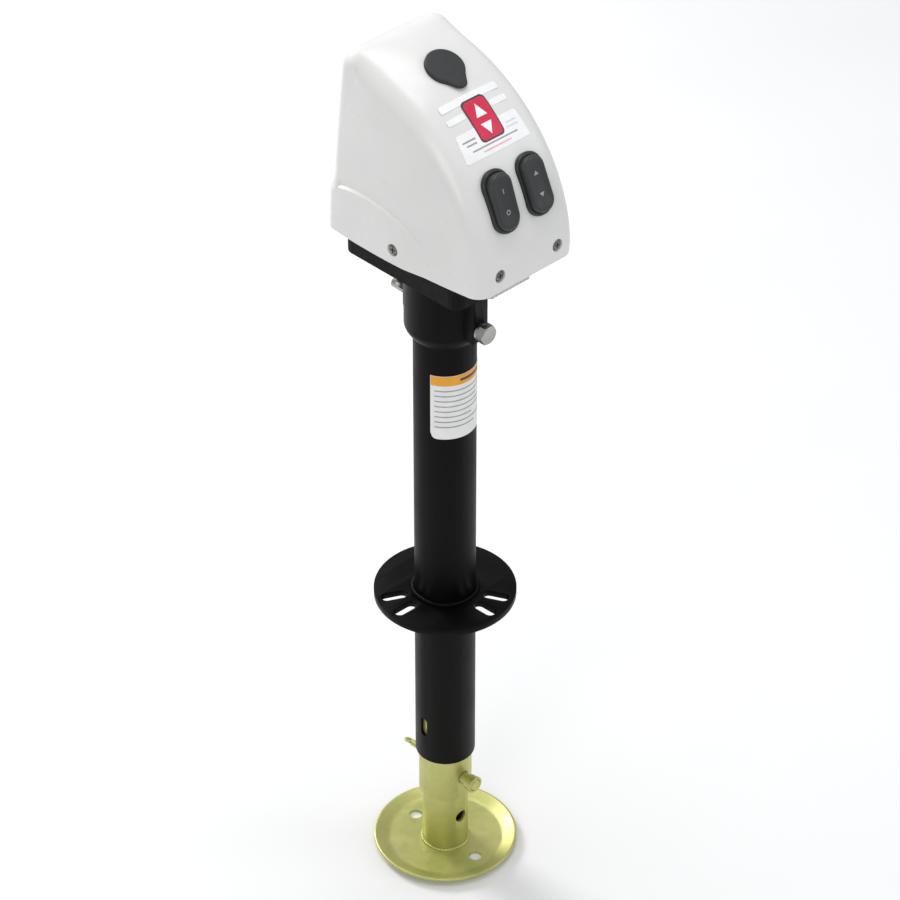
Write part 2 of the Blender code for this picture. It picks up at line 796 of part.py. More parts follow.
def make_gears():
    """Each follower shows a gap, and each driver a tooth, on the line between their axes."""
    x, y = idler_place()
    to_idler = math.atan2(y, x)
    output_phase = to_idler
    small_phase = to_idler + math.pi + math.pi / SMALL_TEETH
    to_motor = math.atan2(MOTOR_Y - y, -x)
    big_phase = to_motor
    pinion_phase = to_motor + math.pi + math.pi / PINION_TEETH

    shaft_hole = circle(SHAFT_RADIUS + GAP, 32)
    outline = gear_outline(OUTPUT_TEETH, SECOND_MODULE, output_phase)
    top = OUTPUT_BOTTOM + OUTPUT_THICK
    plate("output_gear", [outline, shaft_hole], OUTPUT_BOTTOM, top, BRIGHT_STEEL)

    idler_outline = gear_outline(IDLER_TEETH, FIRST_MODULE, big_phase)
    idler = plate("idler_gear", [idler_outline], IDLER_SPLIT, IDLER_TOP, BRIGHT_STEEL)
    idler.location = (x, y, 0.0)
    small_outline = gear_outline(SMALL_TEETH, SECOND_MODULE, small_phase)
    small = plate_tool("idler_small", [small_outline], OUTPUT_BOTTOM, IDLER_SPLIT + 0.001)
    small.location = (x, y, 0.0)
    join(idler, small)
    bore = IDLER_SHAFT_RADIUS + GAP
    cut(idler, cylinder_tool("idler_bore", (x, y, IDLER_SPLIT), (0, 0, 1), bore, 0.06))

    pinion_outline = gear_outline(PINION_TEETH, FIRST_MODULE, pinion_phase)
    bore = circle(MOTOR_SHAFT_RADIUS + GAP, 16)
    pinion = plate(
        "motor_pinion", [pinion_outline, bore], IDLER_SPLIT - 0.0005, IDLER_TOP + 0.0005, BRASS
    )
    pinion.location = (0.0, MOTOR_Y, 0.0)
    turned(
        "idler_shaft",
        rod_profile(IDLER_SHAFT_RADIUS, CASE_BOTTOM + 0.0015, CASE_TOP + 0.003),
        BRIGHT_STEEL,
        segments=20,
        closed=False,
        at=(x, y),
    )


def case_screw_places():
    inset = CASE_WALL + 0.0035
    x = CASE_HALF_WIDTH - inset
    return [
        (-x, CASE_FRONT + inset),
        (x, CASE_FRONT + inset),
        (x, CASE_BACK - inset),
        (-x, CASE_BACK - inset),
    ]


def make_gear_case():
    outer = rounded_rectangle(
        -CASE_HALF_WIDTH, CASE_HALF_WIDTH, CASE_FRONT, CASE_BACK, CASE_CORNER
    )
    inner = rounded_rectangle(
        -CASE_HALF_WIDTH + CASE_WALL,
        CASE_HALF_WIDTH - CASE_WALL,
        CASE_FRONT + CASE_WALL,
        CASE_BACK - CASE_WALL,
        CASE_CORNER - CASE_WALL,
    )
    case = plate("gearbox_base", [outer], CASE_BOTTOM, CASE_TOP, CAST_METAL)
    cut(case, plate_tool("case_hollow", [inner], CASE_BOTTOM + CASE_FLOOR, CASE_TOP + 0.01))
    for number, (x, y) in enumerate(case_screw_places(), 1):
        middle = (CASE_BOTTOM + CASE_TOP) / 2
        height = CASE_TOP - CASE_BOTTOM - 0.001
        post = cylinder_tool(f"case_post_{number}", (x, y, middle), (0, 0, 1), CASE_POST_RADIUS, height)
        join(case, post)
        bore = LID_SCREW_RADIUS + GAP
        cut(case, cylinder_tool(f"case_tap_{number}", (x, y, CASE_TOP), (0, 0, 1), bore, 0.026, 12))
    shaft_hole = SHAFT_RADIUS + 0.0008
    cut(case, cylinder_tool("case_shaft_hole", (0, 0, CASE_BOTTOM), (0, 0, 1), shaft_hole, 0.02, 32))
    x, y = idler_place()
    socket = cylinder_tool(
        "case_idler_hole", (x, y, CASE_BOTTOM + 0.011), (0, 0, 1), IDLER_SHAFT_RADIUS + GAP, 0.02
    )
    cut(case, socket)
    for number, (x, y) in enumerate(neck_screw_places(), 1):
        cut(case, neck_screw_hole(f"case_hole_{number}", x, y))


def make_gear_lid():
    outer = rounded_rectangle(
        -CASE_HALF_WIDTH, CASE_HALF_WIDTH, CASE_FRONT, CASE_BACK, CASE_CORNER
    )
    idler = idler_place()
    holes = [circle(0.0098, 32), circle(0.0060, 20, (0.0, MOTOR_Y))]
    holes.append(circle(IDLER_SHAFT_RADIUS + GAP, 20, idler))
    holes += [circle(LID_SCREW_RADIUS + GAP, 12, place) for place in case_screw_places()]
    low = CASE_TOP + GAP
    plate("gearbox_lid", [outer, *holes], low, low + LID_THICK, CAST_METAL)
    bush = pipe_profile(0.0095, SHAFT_RADIUS + GAP, low, low + LID_THICK)
    turned("top_bush", bush, BRASS, segments=24)
    for number, (x, y) in enumerate(case_screw_places(), 1):
        top = low + LID_THICK + GAP
        profile = [
            (0.0, top + 0.0024),
            (0.0026, top + 0.0024),
            (0.0034, top + 0.0012),
            (0.0034, top),
            (LID_SCREW_RADIUS, top),
            (LID_SCREW_RADIUS, top - 0.014),
            (0.0, top - 0.014),
        ]
        turned(f"lid_screw_{number}", profile, STEEL_ZINC, segments=12, closed=False, at=(x, y))


def make_motor():
    at = (0.0, MOTOR_Y)
    low = CASE_TOP + LID_THICK + 2 * GAP
    cap_top = low + END_CAP_THICK
    shaft_hole = MOTOR_SHAFT_RADIUS + 0.0005
    turned(
        "motor_end_cap", pipe_profile(MOTOR_RADIUS, shaft_hole, low, cap_top), CAST_METAL, at=at
    )
    can_low = cap_top + GAP
    turned(
        "motor_can",
        [
            (shaft_hole, MOTOR_TOP),
            (MOTOR_RADIUS - 0.003, MOTOR_TOP),
            (MOTOR_RADIUS, MOTOR_TOP - 0.003),
            (MOTOR_RADIUS, can_low),
            (MOTOR_BORE, can_low),
            (MOTOR_BORE, MOTOR_TOP - 0.003),
            (shaft_hole, MOTOR_TOP - 0.003),
        ],
        BRIGHT_STEEL,
        at=at,
    )
    turned(
        "motor_armature",
        [
            (0.0, MOTOR_TOP + 0.002),
            (MOTOR_SHAFT_RADIUS, MOTOR_TOP + 0.002),
            (MOTOR_SHAFT_RADIUS, MOTOR_TOP - 0.012),
            (ARMATURE_RADIUS, MOTOR_TOP - 0.012),
            (ARMATURE_RADIUS, cap_top + 0.012),
            (0.008, cap_top + 0.012),
            (0.008, cap_top + 0.003),
            (MOTOR_SHAFT_RADIUS, cap_top + 0.003),
            (MOTOR_SHAFT_RADIUS, IDLER_SPLIT - 0.001),
            (0.0, IDLER_SPLIT - 0.001),
        ],
        COPPER,
        segments=32,
        closed=False,
        at=at,
    )


def make_crank_socket():
    """Sleeve pinned to the shaft, with a hex socket at the top that a hand crank turns."""
    socket = turned(
        "crank_socket",
        pipe_profile(SOCKET_RADIUS, SOCKET_BORE, SOCKET_BOTTOM, SOCKET_TOP - SOCKET_DEPTH),
        BRIGHT_STEEL,
        segments=32,
    )
    bore = [(x, y) for x, y in hexagon(2 * SOCKET_HEX)]
    head = plate_tool(
        "socket_head",
        [circle(SOCKET_RADIUS - 0.001, 32), bore],
        SOCKET_TOP - SOCKET_DEPTH - 0.004,
        SOCKET_TOP,
    )
    join(socket, head)
    pin_hole_tool = cylinder_tool(
        "socket_pin_hole", (0, 0, SOCKET_PIN_HEIGHT), (1, 0, 0), SOCKET_PIN_RADIUS + GAP, 0.04, 12
    )
    cut(socket, pin_hole_tool)
    cut(bpy.data.objects["lift_screw"], pin_hole_tool)
    pin = add_part(
        "socket_pin", cylinder_mesh("socket_pin", SOCKET_PIN_RADIUS, 0.024, 12), BRIGHT_STEEL
    )
    aim(pin, (0, 0, SOCKET_PIN_HEIGHT), (1, 0, 0))


# ---------------------------------------------------------------- tray and work light


def tray_outline(half_width, front, back, corner):
    return rounded_rectangle(-half_width, half_width, front, back, corner)


def make_tray():
    well = tray_outline(TRAY_HALF_WIDTH, TRAY_FRONT, TRAY_BACK, TRAY_CORNER)
    tray = plate("head_tray", [well], TRAY_BOTTOM, LIP_TOP, BLACK_PLASTIC)
    lip = tray_outline(LIP_HALF_WIDTH, LIP_FRONT, LIP_BACK, LIP_CORNER)
    join(tray, plate_tool("tray_lip", [lip], LIP_BOTTOM, LIP_TOP - 0.0001))
    for number, (low, high) in enumerate(tab_boxes()):
        join(tray, box_tool(f"tray_tab_{number}", low, high))
    hollow = tray_outline(
        TRAY_HALF_WIDTH - TRAY_WALL,
        TRAY_FRONT + TRAY_WALL,
        TRAY_BACK - TRAY_WALL,
        TRAY_CORNER - TRAY_WALL,
    )
    cut(tray, plate_tool("tray_hollow", [hollow], TRAY_BOTTOM + TRAY_FLOOR, LIP_TOP + 0.01))
    middle = TRAY_BOTTOM + TRAY_FLOOR / 2
    cut(tray, cylinder_tool("tray_shaft_hole", (0, 0, middle), (0, 0, 1), 0.0095, 0.02, 32))
    lead_hole = cylinder_tool(
        "tray_lead_hole", (LEAD_X, LEAD_Y, middle), (0, 0, 1), LEAD_RADIUS + 0.0025, 0.02
    )
    cut(tray, lead_hole)
    for number, (x, y) in enumerate(neck_screw_places(), 1):
        cut(tray, neck_screw_hole(f"tray_hole_{number}", x, y))
    for name, centre, axis in cover_screws():
        bore = SCREW_SHANK_RADIUS + GAP
        cut(tray, cylinder_tool(f"{name}_tap", centre, axis, bore, 0.05, 12))


def tab_boxes():
    """Upright tabs on the tray's lip and walls, which take the cover's screws."""
    half = 0.007
    inward = COVER_WALL + SCREW_BOSS_DEPTH + GAP
    front = front_outline_y(FRONT_SCREW_Z) + inward
    boxes = []
    for side in (-1, 1):
        x = side * FRONT_SCREW_X
        low = (x - half, front, LIP_BOTTOM + 0.001)
        boxes.append((low, (x + half, front + TAB_THICK, FRONT_SCREW_Z + half)))
    inner = side_surface_x(SIDE_SCREW_Y, SIDE_SCREW_Z) - inward
    for side in (-1, 1):
        ends = sorted((side * inner, side * (inner - TAB_THICK)))
        low = (ends[0], SIDE_SCREW_Y - half, TRAY_BOTTOM + 0.001)
        boxes.append((low, (ends[1], SIDE_SCREW_Y + half, SIDE_SCREW_Z + half)))
    return boxes


def make_grommet():
    """Inlet for the power lead, in the tray's floor beside the neck."""
    low = TRAY_BOTTOM - 0.002
    high = TRAY_BOTTOM + TRAY_FLOOR + 0.002
    turned(
        "lead_grommet",
        [
            (LEAD_RADIUS + 0.0035, TRAY_BOTTOM - GAP),
            (LEAD_RADIUS + 0.0035, low),
            (LEAD_RADIUS, low),
            (LEAD_RADIUS, high),
            (LEAD_RADIUS + 0.0022, high),
            (LEAD_RADIUS + 0.0022, TRAY_BOTTOM - GAP),
        ],
        RUBBER,
        segments=24,
        at=(LEAD_X, LEAD_Y),
    )


def light_outline(inset):
    """Outline of the work light as seen from the front."""
    return rounded_rectangle(
        -LIGHT_HALF_WIDTH + inset,
        LIGHT_HALF_WIDTH - inset,
        LIGHT_BOTTOM + inset,
        LIGHT_TOP - inset,
        0.003 - inset / 2,
        3,
    )


def stand_up(obj):
    """Turn a flat piece drawn in X and Z so that its thickness runs back along +Y."""
    obj.rotation_euler = (math.pi / 2, 0.0, 0.0)


def make_work_light():
    """A shallow dish on the tray's front wall, with a lit board behind a frosted lens."""
    back = TRAY_FRONT - GAP
    lens_back = LIGHT_FRONT + LIGHT_LENS_THICK
    floor = LIGHT_WALL - back
    shell = plate(
        "work_light_housing", [light_outline(0.0)], -back, -lens_back - GAP, BLACK_PLASTIC
    )
    stand_up(shell)
    hollow = plate_tool("light_hollow", [light_outline(LIGHT_WALL)], floor, 0.01 - lens_back)
    stand_up(hollow)
    cut(shell, hollow)
    lens = plate("work_light_lens", [light_outline(0.0)], -lens_back, -LIGHT_FRONT, CLEAR)
    stand_up(lens)
    bevel(lens, 0.0006, 1)
    board_outline = light_outline(LIGHT_WALL + GAP)
    low = floor + GAP
    board = plate("work_light_board", [board_outline], low, low + LIGHT_BOARD_THICK, BOARD)
    stand_up(board)


# ---------------------------------------------------------------- cover


def smooth_step(low, high, value):
    share = min(1.0, max(0.0, (value - low) / (high - low)))
    return share * share * (3.0 - 2.0 * share)


def front_outline_y(z):
    """How far the front of the cover stands at a height, in side view."""
    if z <= ELLIPSE_Z:
        tuck = FRONT_TUCK * (ELLIPSE_Z - z) / (ELLIPSE_Z - COVER_BOTTOM)
        return ELLIPSE_Y - ELLIPSE_DEPTH + tuck
    rise = (z - ELLIPSE_Z) / ELLIPSE_RISE
    return ELLIPSE_Y - ELLIPSE_DEPTH * math.sqrt(1.0 - rise * rise)


def top_outline_z(y):
    share = (y - ELLIPSE_Y) / ELLIPSE_DEPTH
    return ELLIPSE_Z + ELLIPSE_RISE * math.sqrt(1.0 - share * share)


def surface_normal(y, z):
    """Outward normal of the front and top, in the plane of Y and Z."""
    normal = Vector(((y - ELLIPSE_Y) / ELLIPSE_DEPTH**2, (z - ELLIPSE_Z) / ELLIPSE_RISE**2))
    return normal.normalized()


def skirt_line_z(y):
    return SKIRT_CREST_Z - SKIRT_FALL * (y - SKIRT_CREST_Y) ** 2


def skirt_proud(y, z):
    """How far the lower band of the cover stands out from the panel above it."""
    line = skirt_line_z(y)
    below = 1.0 - smooth_step(line - SKIRT_RAMP, line + SKIRT_RAMP, z)
    return SKIRT_STEP * below * smooth_step(SKIRT_FADE_FRONT, SKIRT_FADE_BACK, y)


def side_surface_x(y, z):
    """Half the width of the cover at a place on its side."""
    bow = BOW * ((y - WIDEST_Y) / BOW_SPAN) ** 2
    lean = DRAFT * (max(0.0, z - COVER_BOTTOM) / DRAFT_HEIGHT) ** DRAFT_POWER
    return HALF_WIDTH - bow - lean + skirt_proud(y, z)


def outline_stations():
    """Points round the cover in side view, front bottom to rear bottom, as (point, normal)."""
    stations = [(Vector((front_outline_y(COVER_BOTTOM), COVER_BOTTOM)), Vector((-1.0, 0.0)))]
    last = math.acos((ELLIPSE_Y - REAR_CORNER_Y) / ELLIPSE_DEPTH)
    for step in range(ELLIPSE_STEPS + 1):
        angle = last * step / ELLIPSE_STEPS
        y = ELLIPSE_Y - ELLIPSE_DEPTH * math.cos(angle)
        z = ELLIPSE_Z + ELLIPSE_RISE * math.sin(angle)
        stations.append((Vector((y, z)), surface_normal(y, z)))
    point, normal = stations[-1]
    centre = point - REAR_CORNER * normal
    start = math.atan2(normal.x, normal.y)
    for step in range(1, REAR_ARC_STEPS + 1):
        turn = start + (math.pi / 2 - start) * step / REAR_ARC_STEPS
        normal = Vector((math.sin(turn), math.cos(turn)))
        stations.append((centre + REAR_CORNER * normal, normal))
    rear_top_y, corner_z = stations[-1][0]
    line = skirt_line_z(REAR_BOTTOM_Y)
    heights = [corner_z + (line - corner_z) * share for share in (0.35, 0.7)]
    heights += [line + SKIRT_RAMP, line - SKIRT_RAMP, (line + COVER_BOTTOM) / 2, COVER_BOTTOM]
    for z in heights:
        share = (corner_z - z) / (corner_z - COVER_BOTTOM)
        y = rear_top_y + (REAR_BOTTOM_Y - rear_top_y) * share + skirt_proud(REAR_BOTTOM_Y, z)
        stations.append((Vector((y, z)), Vector((1.0, 0.0))))
    return stations


def cross_line(point, normal, progress):
    """Points from the middle of the cover out over the fillet, and the fillet's end."""
    rear = smooth_step(REAR_BLEND_FRONT, REAR_BLEND_BACK, point.x)
    fillet = FRONT_FILLET + (TOP_FILLET - FRONT_FILLET) * progress
    fillet += (REAR_FILLET - fillet) * rear
    crown = CROWN * progress * (1.0 - rear)
    slope = math.atan2(crown, FRONT_FILLET)
    depth = crown + fillet * math.cos(slope)
    end = point - normal * depth
    half = side_surface_x(end.x, end.y)
    flat = half - fillet * (1.0 - math.sin(slope))
    line = []
    for step in range(FLAT_STEPS):
        x = flat * step / FLAT_STEPS
        line.append((x, point - normal * crown * (x / flat) ** 2))
    for step in range(FILLET_STEPS + 1):
        angle = slope + (math.pi / 2 - slope) * step / FILLET_STEPS
        x = flat + fillet * (math.sin(angle) - math.sin(slope))
        line.append((x, point - normal * (crown + fillet * (math.cos(slope) - math.cos(angle)))))
    return line


def side_rows(start, end):
    """Places down the side from the fillet to the bottom edge, two of them at the skirt's line."""
    crossing = 0.0
    length = (end - start).length
    if start.y > skirt_line_z(start.x) and length > 0:
        low, high = 0.0, 1.0
        for _ in range(40):
            crossing = (low + high) / 2
            place = start.lerp(end, crossing)
            if place.y > skirt_line_z(place.x):
                low = crossing
            else:
                high = crossing
    ramp = min(1.2 * SKIRT_RAMP / max(length, SKIRT_RAMP), crossing / 2, (1.0 - crossing) / 2)
    if crossing == 0.0:
        count = UPPER_ROWS + LOWER_ROWS + 1
        return [start.lerp(end, row / count) for row in range(1, count + 1)]
    above, below = crossing - ramp, crossing + ramp
    shares = [above * row / UPPER_ROWS for row in range(1, UPPER_ROWS + 1)]
    shares += [below + (1.0 - below) * row / LOWER_ROWS for row in range(LOWER_ROWS + 1)]
    return [start.lerp(end, share) for share in shares]


def cover_half_mesh():
    """The +X half of the cover's outer surface, open at the bottom and in the middle."""
    stations = outline_stations()
    lengths = [0.0]
    for before, after in zip(stations, stations[1:]):
        lengths.append(lengths[-1] + (after[0] - before[0]).length)
    lines = []
    for (point, normal), length in zip(stations, lengths):
        progress = smooth_step(0.0, 0.55, length / lengths[-1])
        lines.append(cross_line(point, normal, progress))
    first, last = lines[0][-1][1].x, lines[-1][-1][1].x
    bm = bmesh.new()
    grid = []
    for line, length in zip(lines, lengths):
        foot = Vector((first + (last - first) * length / lengths[-1], COVER_BOTTOM))
        places = [Vector((x, place.x, place.y)) for x, place in line]
        for place in side_rows(line[-1][1], foot):
            places.append(Vector((side_surface_x(place.x, place.y), place.x, place.y)))
        grid.append([bm.verts.new(place) for place in places])
    for column, following in zip(grid, grid[1:]):
        for row in range(len(column) - 1):
            corners = (column[row], column[row + 1], following[row + 1], following[row])
            bm.faces.new(corners)
    bmesh.ops.remove_doubles(bm, verts=bm.verts, dist=0.0002)
    bmesh.ops.recalc_face_normals(bm, faces=bm.faces)
    outward = max(bm.faces, key=lambda face: face.calc_center_median().z)
    if outward.normal.z < 0:
        bmesh.ops.reverse_faces(bm, faces=bm.faces)
    mesh = mesh_from(bm, "cover")
    smooth(mesh)
    return mesh


def make_cover():
    cover = add_part("cover", cover_half_mesh(), COVER_PLASTIC)
    mirror = cover.modifiers.new("both sides", "MIRROR")
    mirror.use_axis = (True, False, False)
    mirror.use_mirror_merge = True
    mirror.merge_threshold = MERGE
    shell = cover.modifiers.new("wall", "SOLIDIFY")
    shell.thickness = COVER_WALL
    shell.offset = -1.0
    shell.use_even_offset = False
    for side in (-1, 1):
        pad = plate_tool(
            f"switch_pad_{side}", [bezel_outline(0.001)], -BEZEL_SEAT - 0.002, -BEZEL_SEAT + 0.0012
        )
        set_switch_frame(pad, side)
        join(cover, pad)
    seat = cap_frame()
    pad = add_tool("cap_pad", cylinder_mesh("cap_pad", CAP_RADIUS + 0.002, 0.004, 32))
    pad.matrix_world = seat @ Matrix.Translation((0, 0, -0.0042))
    join(cover, pad)
    for name, centre, axis in cover_screws():
        along = Vector(axis)
        middle = Vector(centre) - along * (COVER_WALL + SCREW_BOSS_DEPTH) / 2
        length = COVER_WALL + SCREW_BOSS_DEPTH - 0.002
        inner = middle - along * 0.001
        join(cover, cylinder_tool(f"{name}_boss", inner, axis, SCREW_BOSS_RADIUS, length))
        recess = Vector(centre) + along * (0.01 - SCREW_RECESS_DEPTH)
        cut(cover, cylinder_tool(f"{name}_recess", recess, axis, SCREW_RECESS_RADIUS, 0.02))
        bore = SCREW_SHANK_RADIUS + GAP
        cut(cover, cylinder_tool(f"{name}_bore", centre, axis, bore, 0.04, 12))
    for side in (-1, 1):
        pocket = plate_tool(f"bezel_pocket_{side}", [bezel_outline(GAP)], -BEZEL_SEAT, 0.01)
        set_switch_frame(pocket, side)
        cut(cover, pocket)
        opening = plate_tool(f"switch_opening_{side}", [body_outline(GAP)], -0.02, 0.01)
        set_switch_frame(opening, side)
        cut(cover, opening)
    pocket = add_tool("cap_pocket", cylinder_mesh("cap_pocket", CAP_RADIUS + GAP, 0.02, 32))
    pocket.matrix_world = seat @ Matrix.Translation((0, 0, 0.01 - CAP_SEAT_DEPTH))
    cut(cover, pocket)
    hole = add_tool("crank_hole", cylinder_mesh("crank_hole", CRANK_HOLE_RADIUS, 0.04, 32))
    hole.matrix_world = seat
    cut(cover, hole)


def cover_screws():
    """(name, place on the cover's surface, outward axis) of each cover screw."""
    front_y = front_outline_y(FRONT_SCREW_Z)
    side_x = side_surface_x(SIDE_SCREW_Y, SIDE_SCREW_Z)
    return (
        ("cover_screw_front_left", (-FRONT_SCREW_X, front_y, FRONT_SCREW_Z), (0, -1, 0)),
        ("cover_screw_front_right", (FRONT_SCREW_X, front_y, FRONT_SCREW_Z), (0, -1, 0)),
        ("cover_screw_side_left", (-side_x, SIDE_SCREW_Y, SIDE_SCREW_Z), (-1, 0, 0)),
        ("cover_screw_side_right", (side_x, SIDE_SCREW_Y, SIDE_SCREW_Z), (1, 0, 0)),
    )


def make_cover_screws():
    """Pan head screws in the cover's recesses."""
    for name, centre, axis in cover_screws():
        seat = GAP - SCREW_RECESS_DEPTH
        head = seat + SCREW_HEAD_THICK
        profile = [
            (0.0, head),
            (SCREW_HEAD_RADIUS * 0.6, head),
            (SCREW_HEAD_RADIUS, head - 0.0012),
            (SCREW_HEAD_RADIUS, seat),
            (SCREW_SHANK_RADIUS, seat),
            (SCREW_SHANK_RADIUS, seat - SCREW_SHANK_LENGTH),
            (0.0, seat - SCREW_SHANK_LENGTH),
        ]
        screw = turned(name, profile, BLACK_STEEL, segments=16, closed=False)
        aim(screw, centre, axis)
        drive = box_tool(f"{name}_drive", (-0.0006, -0.0035, head - 0.0012), (0.0006, 0.0035, 0.01))
        drive.parent = screw
        cut(screw, drive)


# ---------------------------------------------------------------- cap and switches


def cap_frame():
    """Frame on the cover's top at the jack's axis: Z outward, X to the right."""
    z = top_outline_z(0.0)
    normal = surface_normal(0.0, z)
    outward = Vector((0.0, normal.x, normal.y))
    across = Vector((1.0, 0.0, 0.0))
    turn = Matrix((across, outward.cross(across), outward)).transposed()
    return Matrix.Translation((0.0, 0.0, z)) @ turn.to_4x4()


def make_cap():
    seat = GAP - CAP_SEAT_DEPTH
    top = seat + CAP_THICK
    cap = turned(
        "crank_cap",
        [
            (0.0, top + 0.0006),
            (CAP_RADIUS * 0.6, top + 0.0003),
            (CAP_RADIUS - 0.0012, top - 0.0002),
            (CAP_RADIUS - GAP / 2, top - 0.0012),
            (CAP_RADIUS - GAP / 2, seat),
            (CAP_PLUG_RADIUS, seat),
            (CAP_PLUG_RADIUS, seat - CAP_PLUG_DEPTH + 0.002),
            (CAP_PLUG_RADIUS - 0.001, seat - CAP_PLUG_DEPTH),
            (0.0, seat - CAP_PLUG_DEPTH),
        ],
        RUBBER,
        segments=40,
        closed=False,
    )
    cap.matrix_world = cap_frame()
    outline = rounded_rectangle(
        -CAP_TAB_WIDTH / 2, CAP_TAB_WIDTH / 2, -CAP_TAB_REACH, -CAP_RADIUS * 0.55, 0.005
    )
    tab = plate_tool("cap_tab", [outline], GAP + 0.0002, top - 0.0004)
    tab.parent = cap
    join(cap, tab)


def set_switch_frame(obj, side):
    """Stand a flat shape on the front surface: Z outward, Y up the slope."""
    obj.matrix_world = switch_frame(side)


def switch_frame(side):
    y = front_outline_y(SWITCH_Z)
    normal = surface_normal(y, SWITCH_Z)
    outward = Vector((0.0, normal.x, normal.y))
    across = Vector((1.0, 0.0, 0.0))
    turn = Matrix((across, outward.cross(across), outward)).transposed()
    return Matrix.Translation((side * SWITCH_X, y, SWITCH_Z)) @ turn.to_4x4()


def oblong(width, length, corner):
    return rounded_rectangle(-width / 2, width / 2, -length / 2, length / 2, corner, 5)


def bezel_outline(grow):
    return oblong(BEZEL_WIDTH + 2 * grow, BEZEL_LENGTH + 2 * grow, BEZEL_CORNER + grow)


def body_outline(grow):
    return oblong(SWITCH_BODY_WIDTH + 2 * grow, SWITCH_BODY_LENGTH + 2 * grow, SWITCH_BODY_CORNER + grow)


def make_switch(name, side, tilt):
    """A switch housing with its bezel, and the rocker on trunnions in its well."""
    frame = switch_frame(side)
    housing = plate(
        f"{name}_switch_housing", [bezel_outline(0.0)], GAP - BEZEL_SEAT, BEZEL_PROUD, BLACK_PLASTIC
    )
    bevel(housing, 0.0012, 2)
    housing.matrix_world = frame
    body = plate_tool(f"{name}_body", [body_outline(0.0)], -SWITCH_BODY_DEPTH, GAP - BEZEL_SEAT + 0.001)
    body.parent = housing
    join(housing, body)
    well_outline = oblong(WELL_WIDTH, WELL_LENGTH, WELL_CORNER)
    well = plate_tool(f"{name}_well", [well_outline], BEZEL_PROUD - WELL_DEPTH - 0.004, 0.01)
    well.parent = housing
    cut(housing, well)
    hole = f"{name}_trunnion_hole"
    socket = add_tool(hole, cylinder_mesh(hole, TRUNNION_RADIUS + GAP, WELL_WIDTH + 0.0018, 12))
    socket.parent = housing
    socket.matrix_local = Matrix.Translation((0, 0, ROCKER_PIVOT)) @ Matrix.Rotation(math.pi / 2, 4, "Y")
    cut(housing, socket)

    pivot = frame @ Matrix.Translation((0, 0, ROCKER_PIVOT))
    rocker = plate(
        f"{name}_switch_rocker",
        [oblong(ROCKER_WIDTH, ROCKER_LENGTH, ROCKER_CORNER)],
        ROCKER_BOTTOM - ROCKER_PIVOT,
        ROCKER_PROUD - ROCKER_PIVOT,
        GREY_PLASTIC,
    )
    bevel(rocker, 0.0016, 2)
    rocker.matrix_world = pivot @ Matrix.Rotation(math.radians(tilt), 4, "X")
    trunnion_mesh = cylinder_mesh(f"{name}_trunnion", TRUNNION_RADIUS, WELL_WIDTH + 0.0014, 12)
    trunnion = add_tool(f"{name}_trunnion", trunnion_mesh)
    trunnion.parent = rocker
    trunnion.matrix_local = Matrix.Rotation(math.pi / 2, 4, "Y")
    join(rocker, trunnion)


# ---------------------------------------------------------------- the jack


clear_scene()
PARTS = new_collection("trailer_tongue_jack")
CUTTERS = new_collection("cutters")

ZINC_PLATE = finish("zinc plate", ZINC, 0.35, 0.9)
STEEL_ZINC = finish("plated steel", STEEL, 0.4, 0.9)
BRIGHT_STEEL = finish("bright steel", (0.55, 0.55, 0.55), 0.3, 1.0)
BLACK_STEEL = finish("black steel", (0.03, 0.03, 0.03), 0.4, 0.8)
BLACK_PAINT = finish("black paint", BLACK, 0.35, 0.0)
BLACK_PLASTIC = finish("black plastic", (0.02, 0.02, 0.02), 0.45, 0.0)
GREY_PLASTIC = finish("dark grey plastic", (0.09, 0.09, 0.10), 0.5, 0.0)
COVER_PLASTIC = finish("light grey plastic", (0.70, 0.70, 0.69), 0.3, 0.0)
RUBBER = finish("black rubber", (0.035, 0.035, 0.036), 0.6, 0.0)
BRASS = finish("bronze", (0.45, 0.30, 0.12), 0.35, 1.0)
COPPER = finish("wound copper", (0.45, 0.18, 0.08), 0.4, 0.9)
CAST_METAL = finish("cast aluminium", (0.45, 0.45, 0.46), 0.5, 0.9)
CLEAR = finish("frosted lens", (0.75, 0.76, 0.76), 0.25, 0.0)
BOARD = finish("circuit board", (0.05, 0.20, 0.08), 0.5, 0.0)

make_foot()
make_drop_leg()
make_ram()
make_outer_tube()
make_flange()
make_pull_pin()
make_keeper()
make_neck()
make_neck_fasteners()
make_lift_screw()
make_thrust_bearing()
make_gears()
make_gear_case()
make_gear_lid()
make_motor()
make_crank_socket()
make_tray()
make_grommet()
make_work_light()
make_cover()
make_cover_screws()
make_cap()
make_switch("light", -1, LIGHT_ROCKER_TILT)
make_switch("drive", 1, 0.0)
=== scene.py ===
"""Looks of the trailer tongue jack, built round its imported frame.

Metres, +Z up, front of the drive head towards -Y, as in the frame. Each visible CAD
solid is replaced by a finer piece of the same size, or keeps its shape and gets a
procedural material.
"""

import math

import bmesh
import bpy
from mathutils import Matrix, Vector


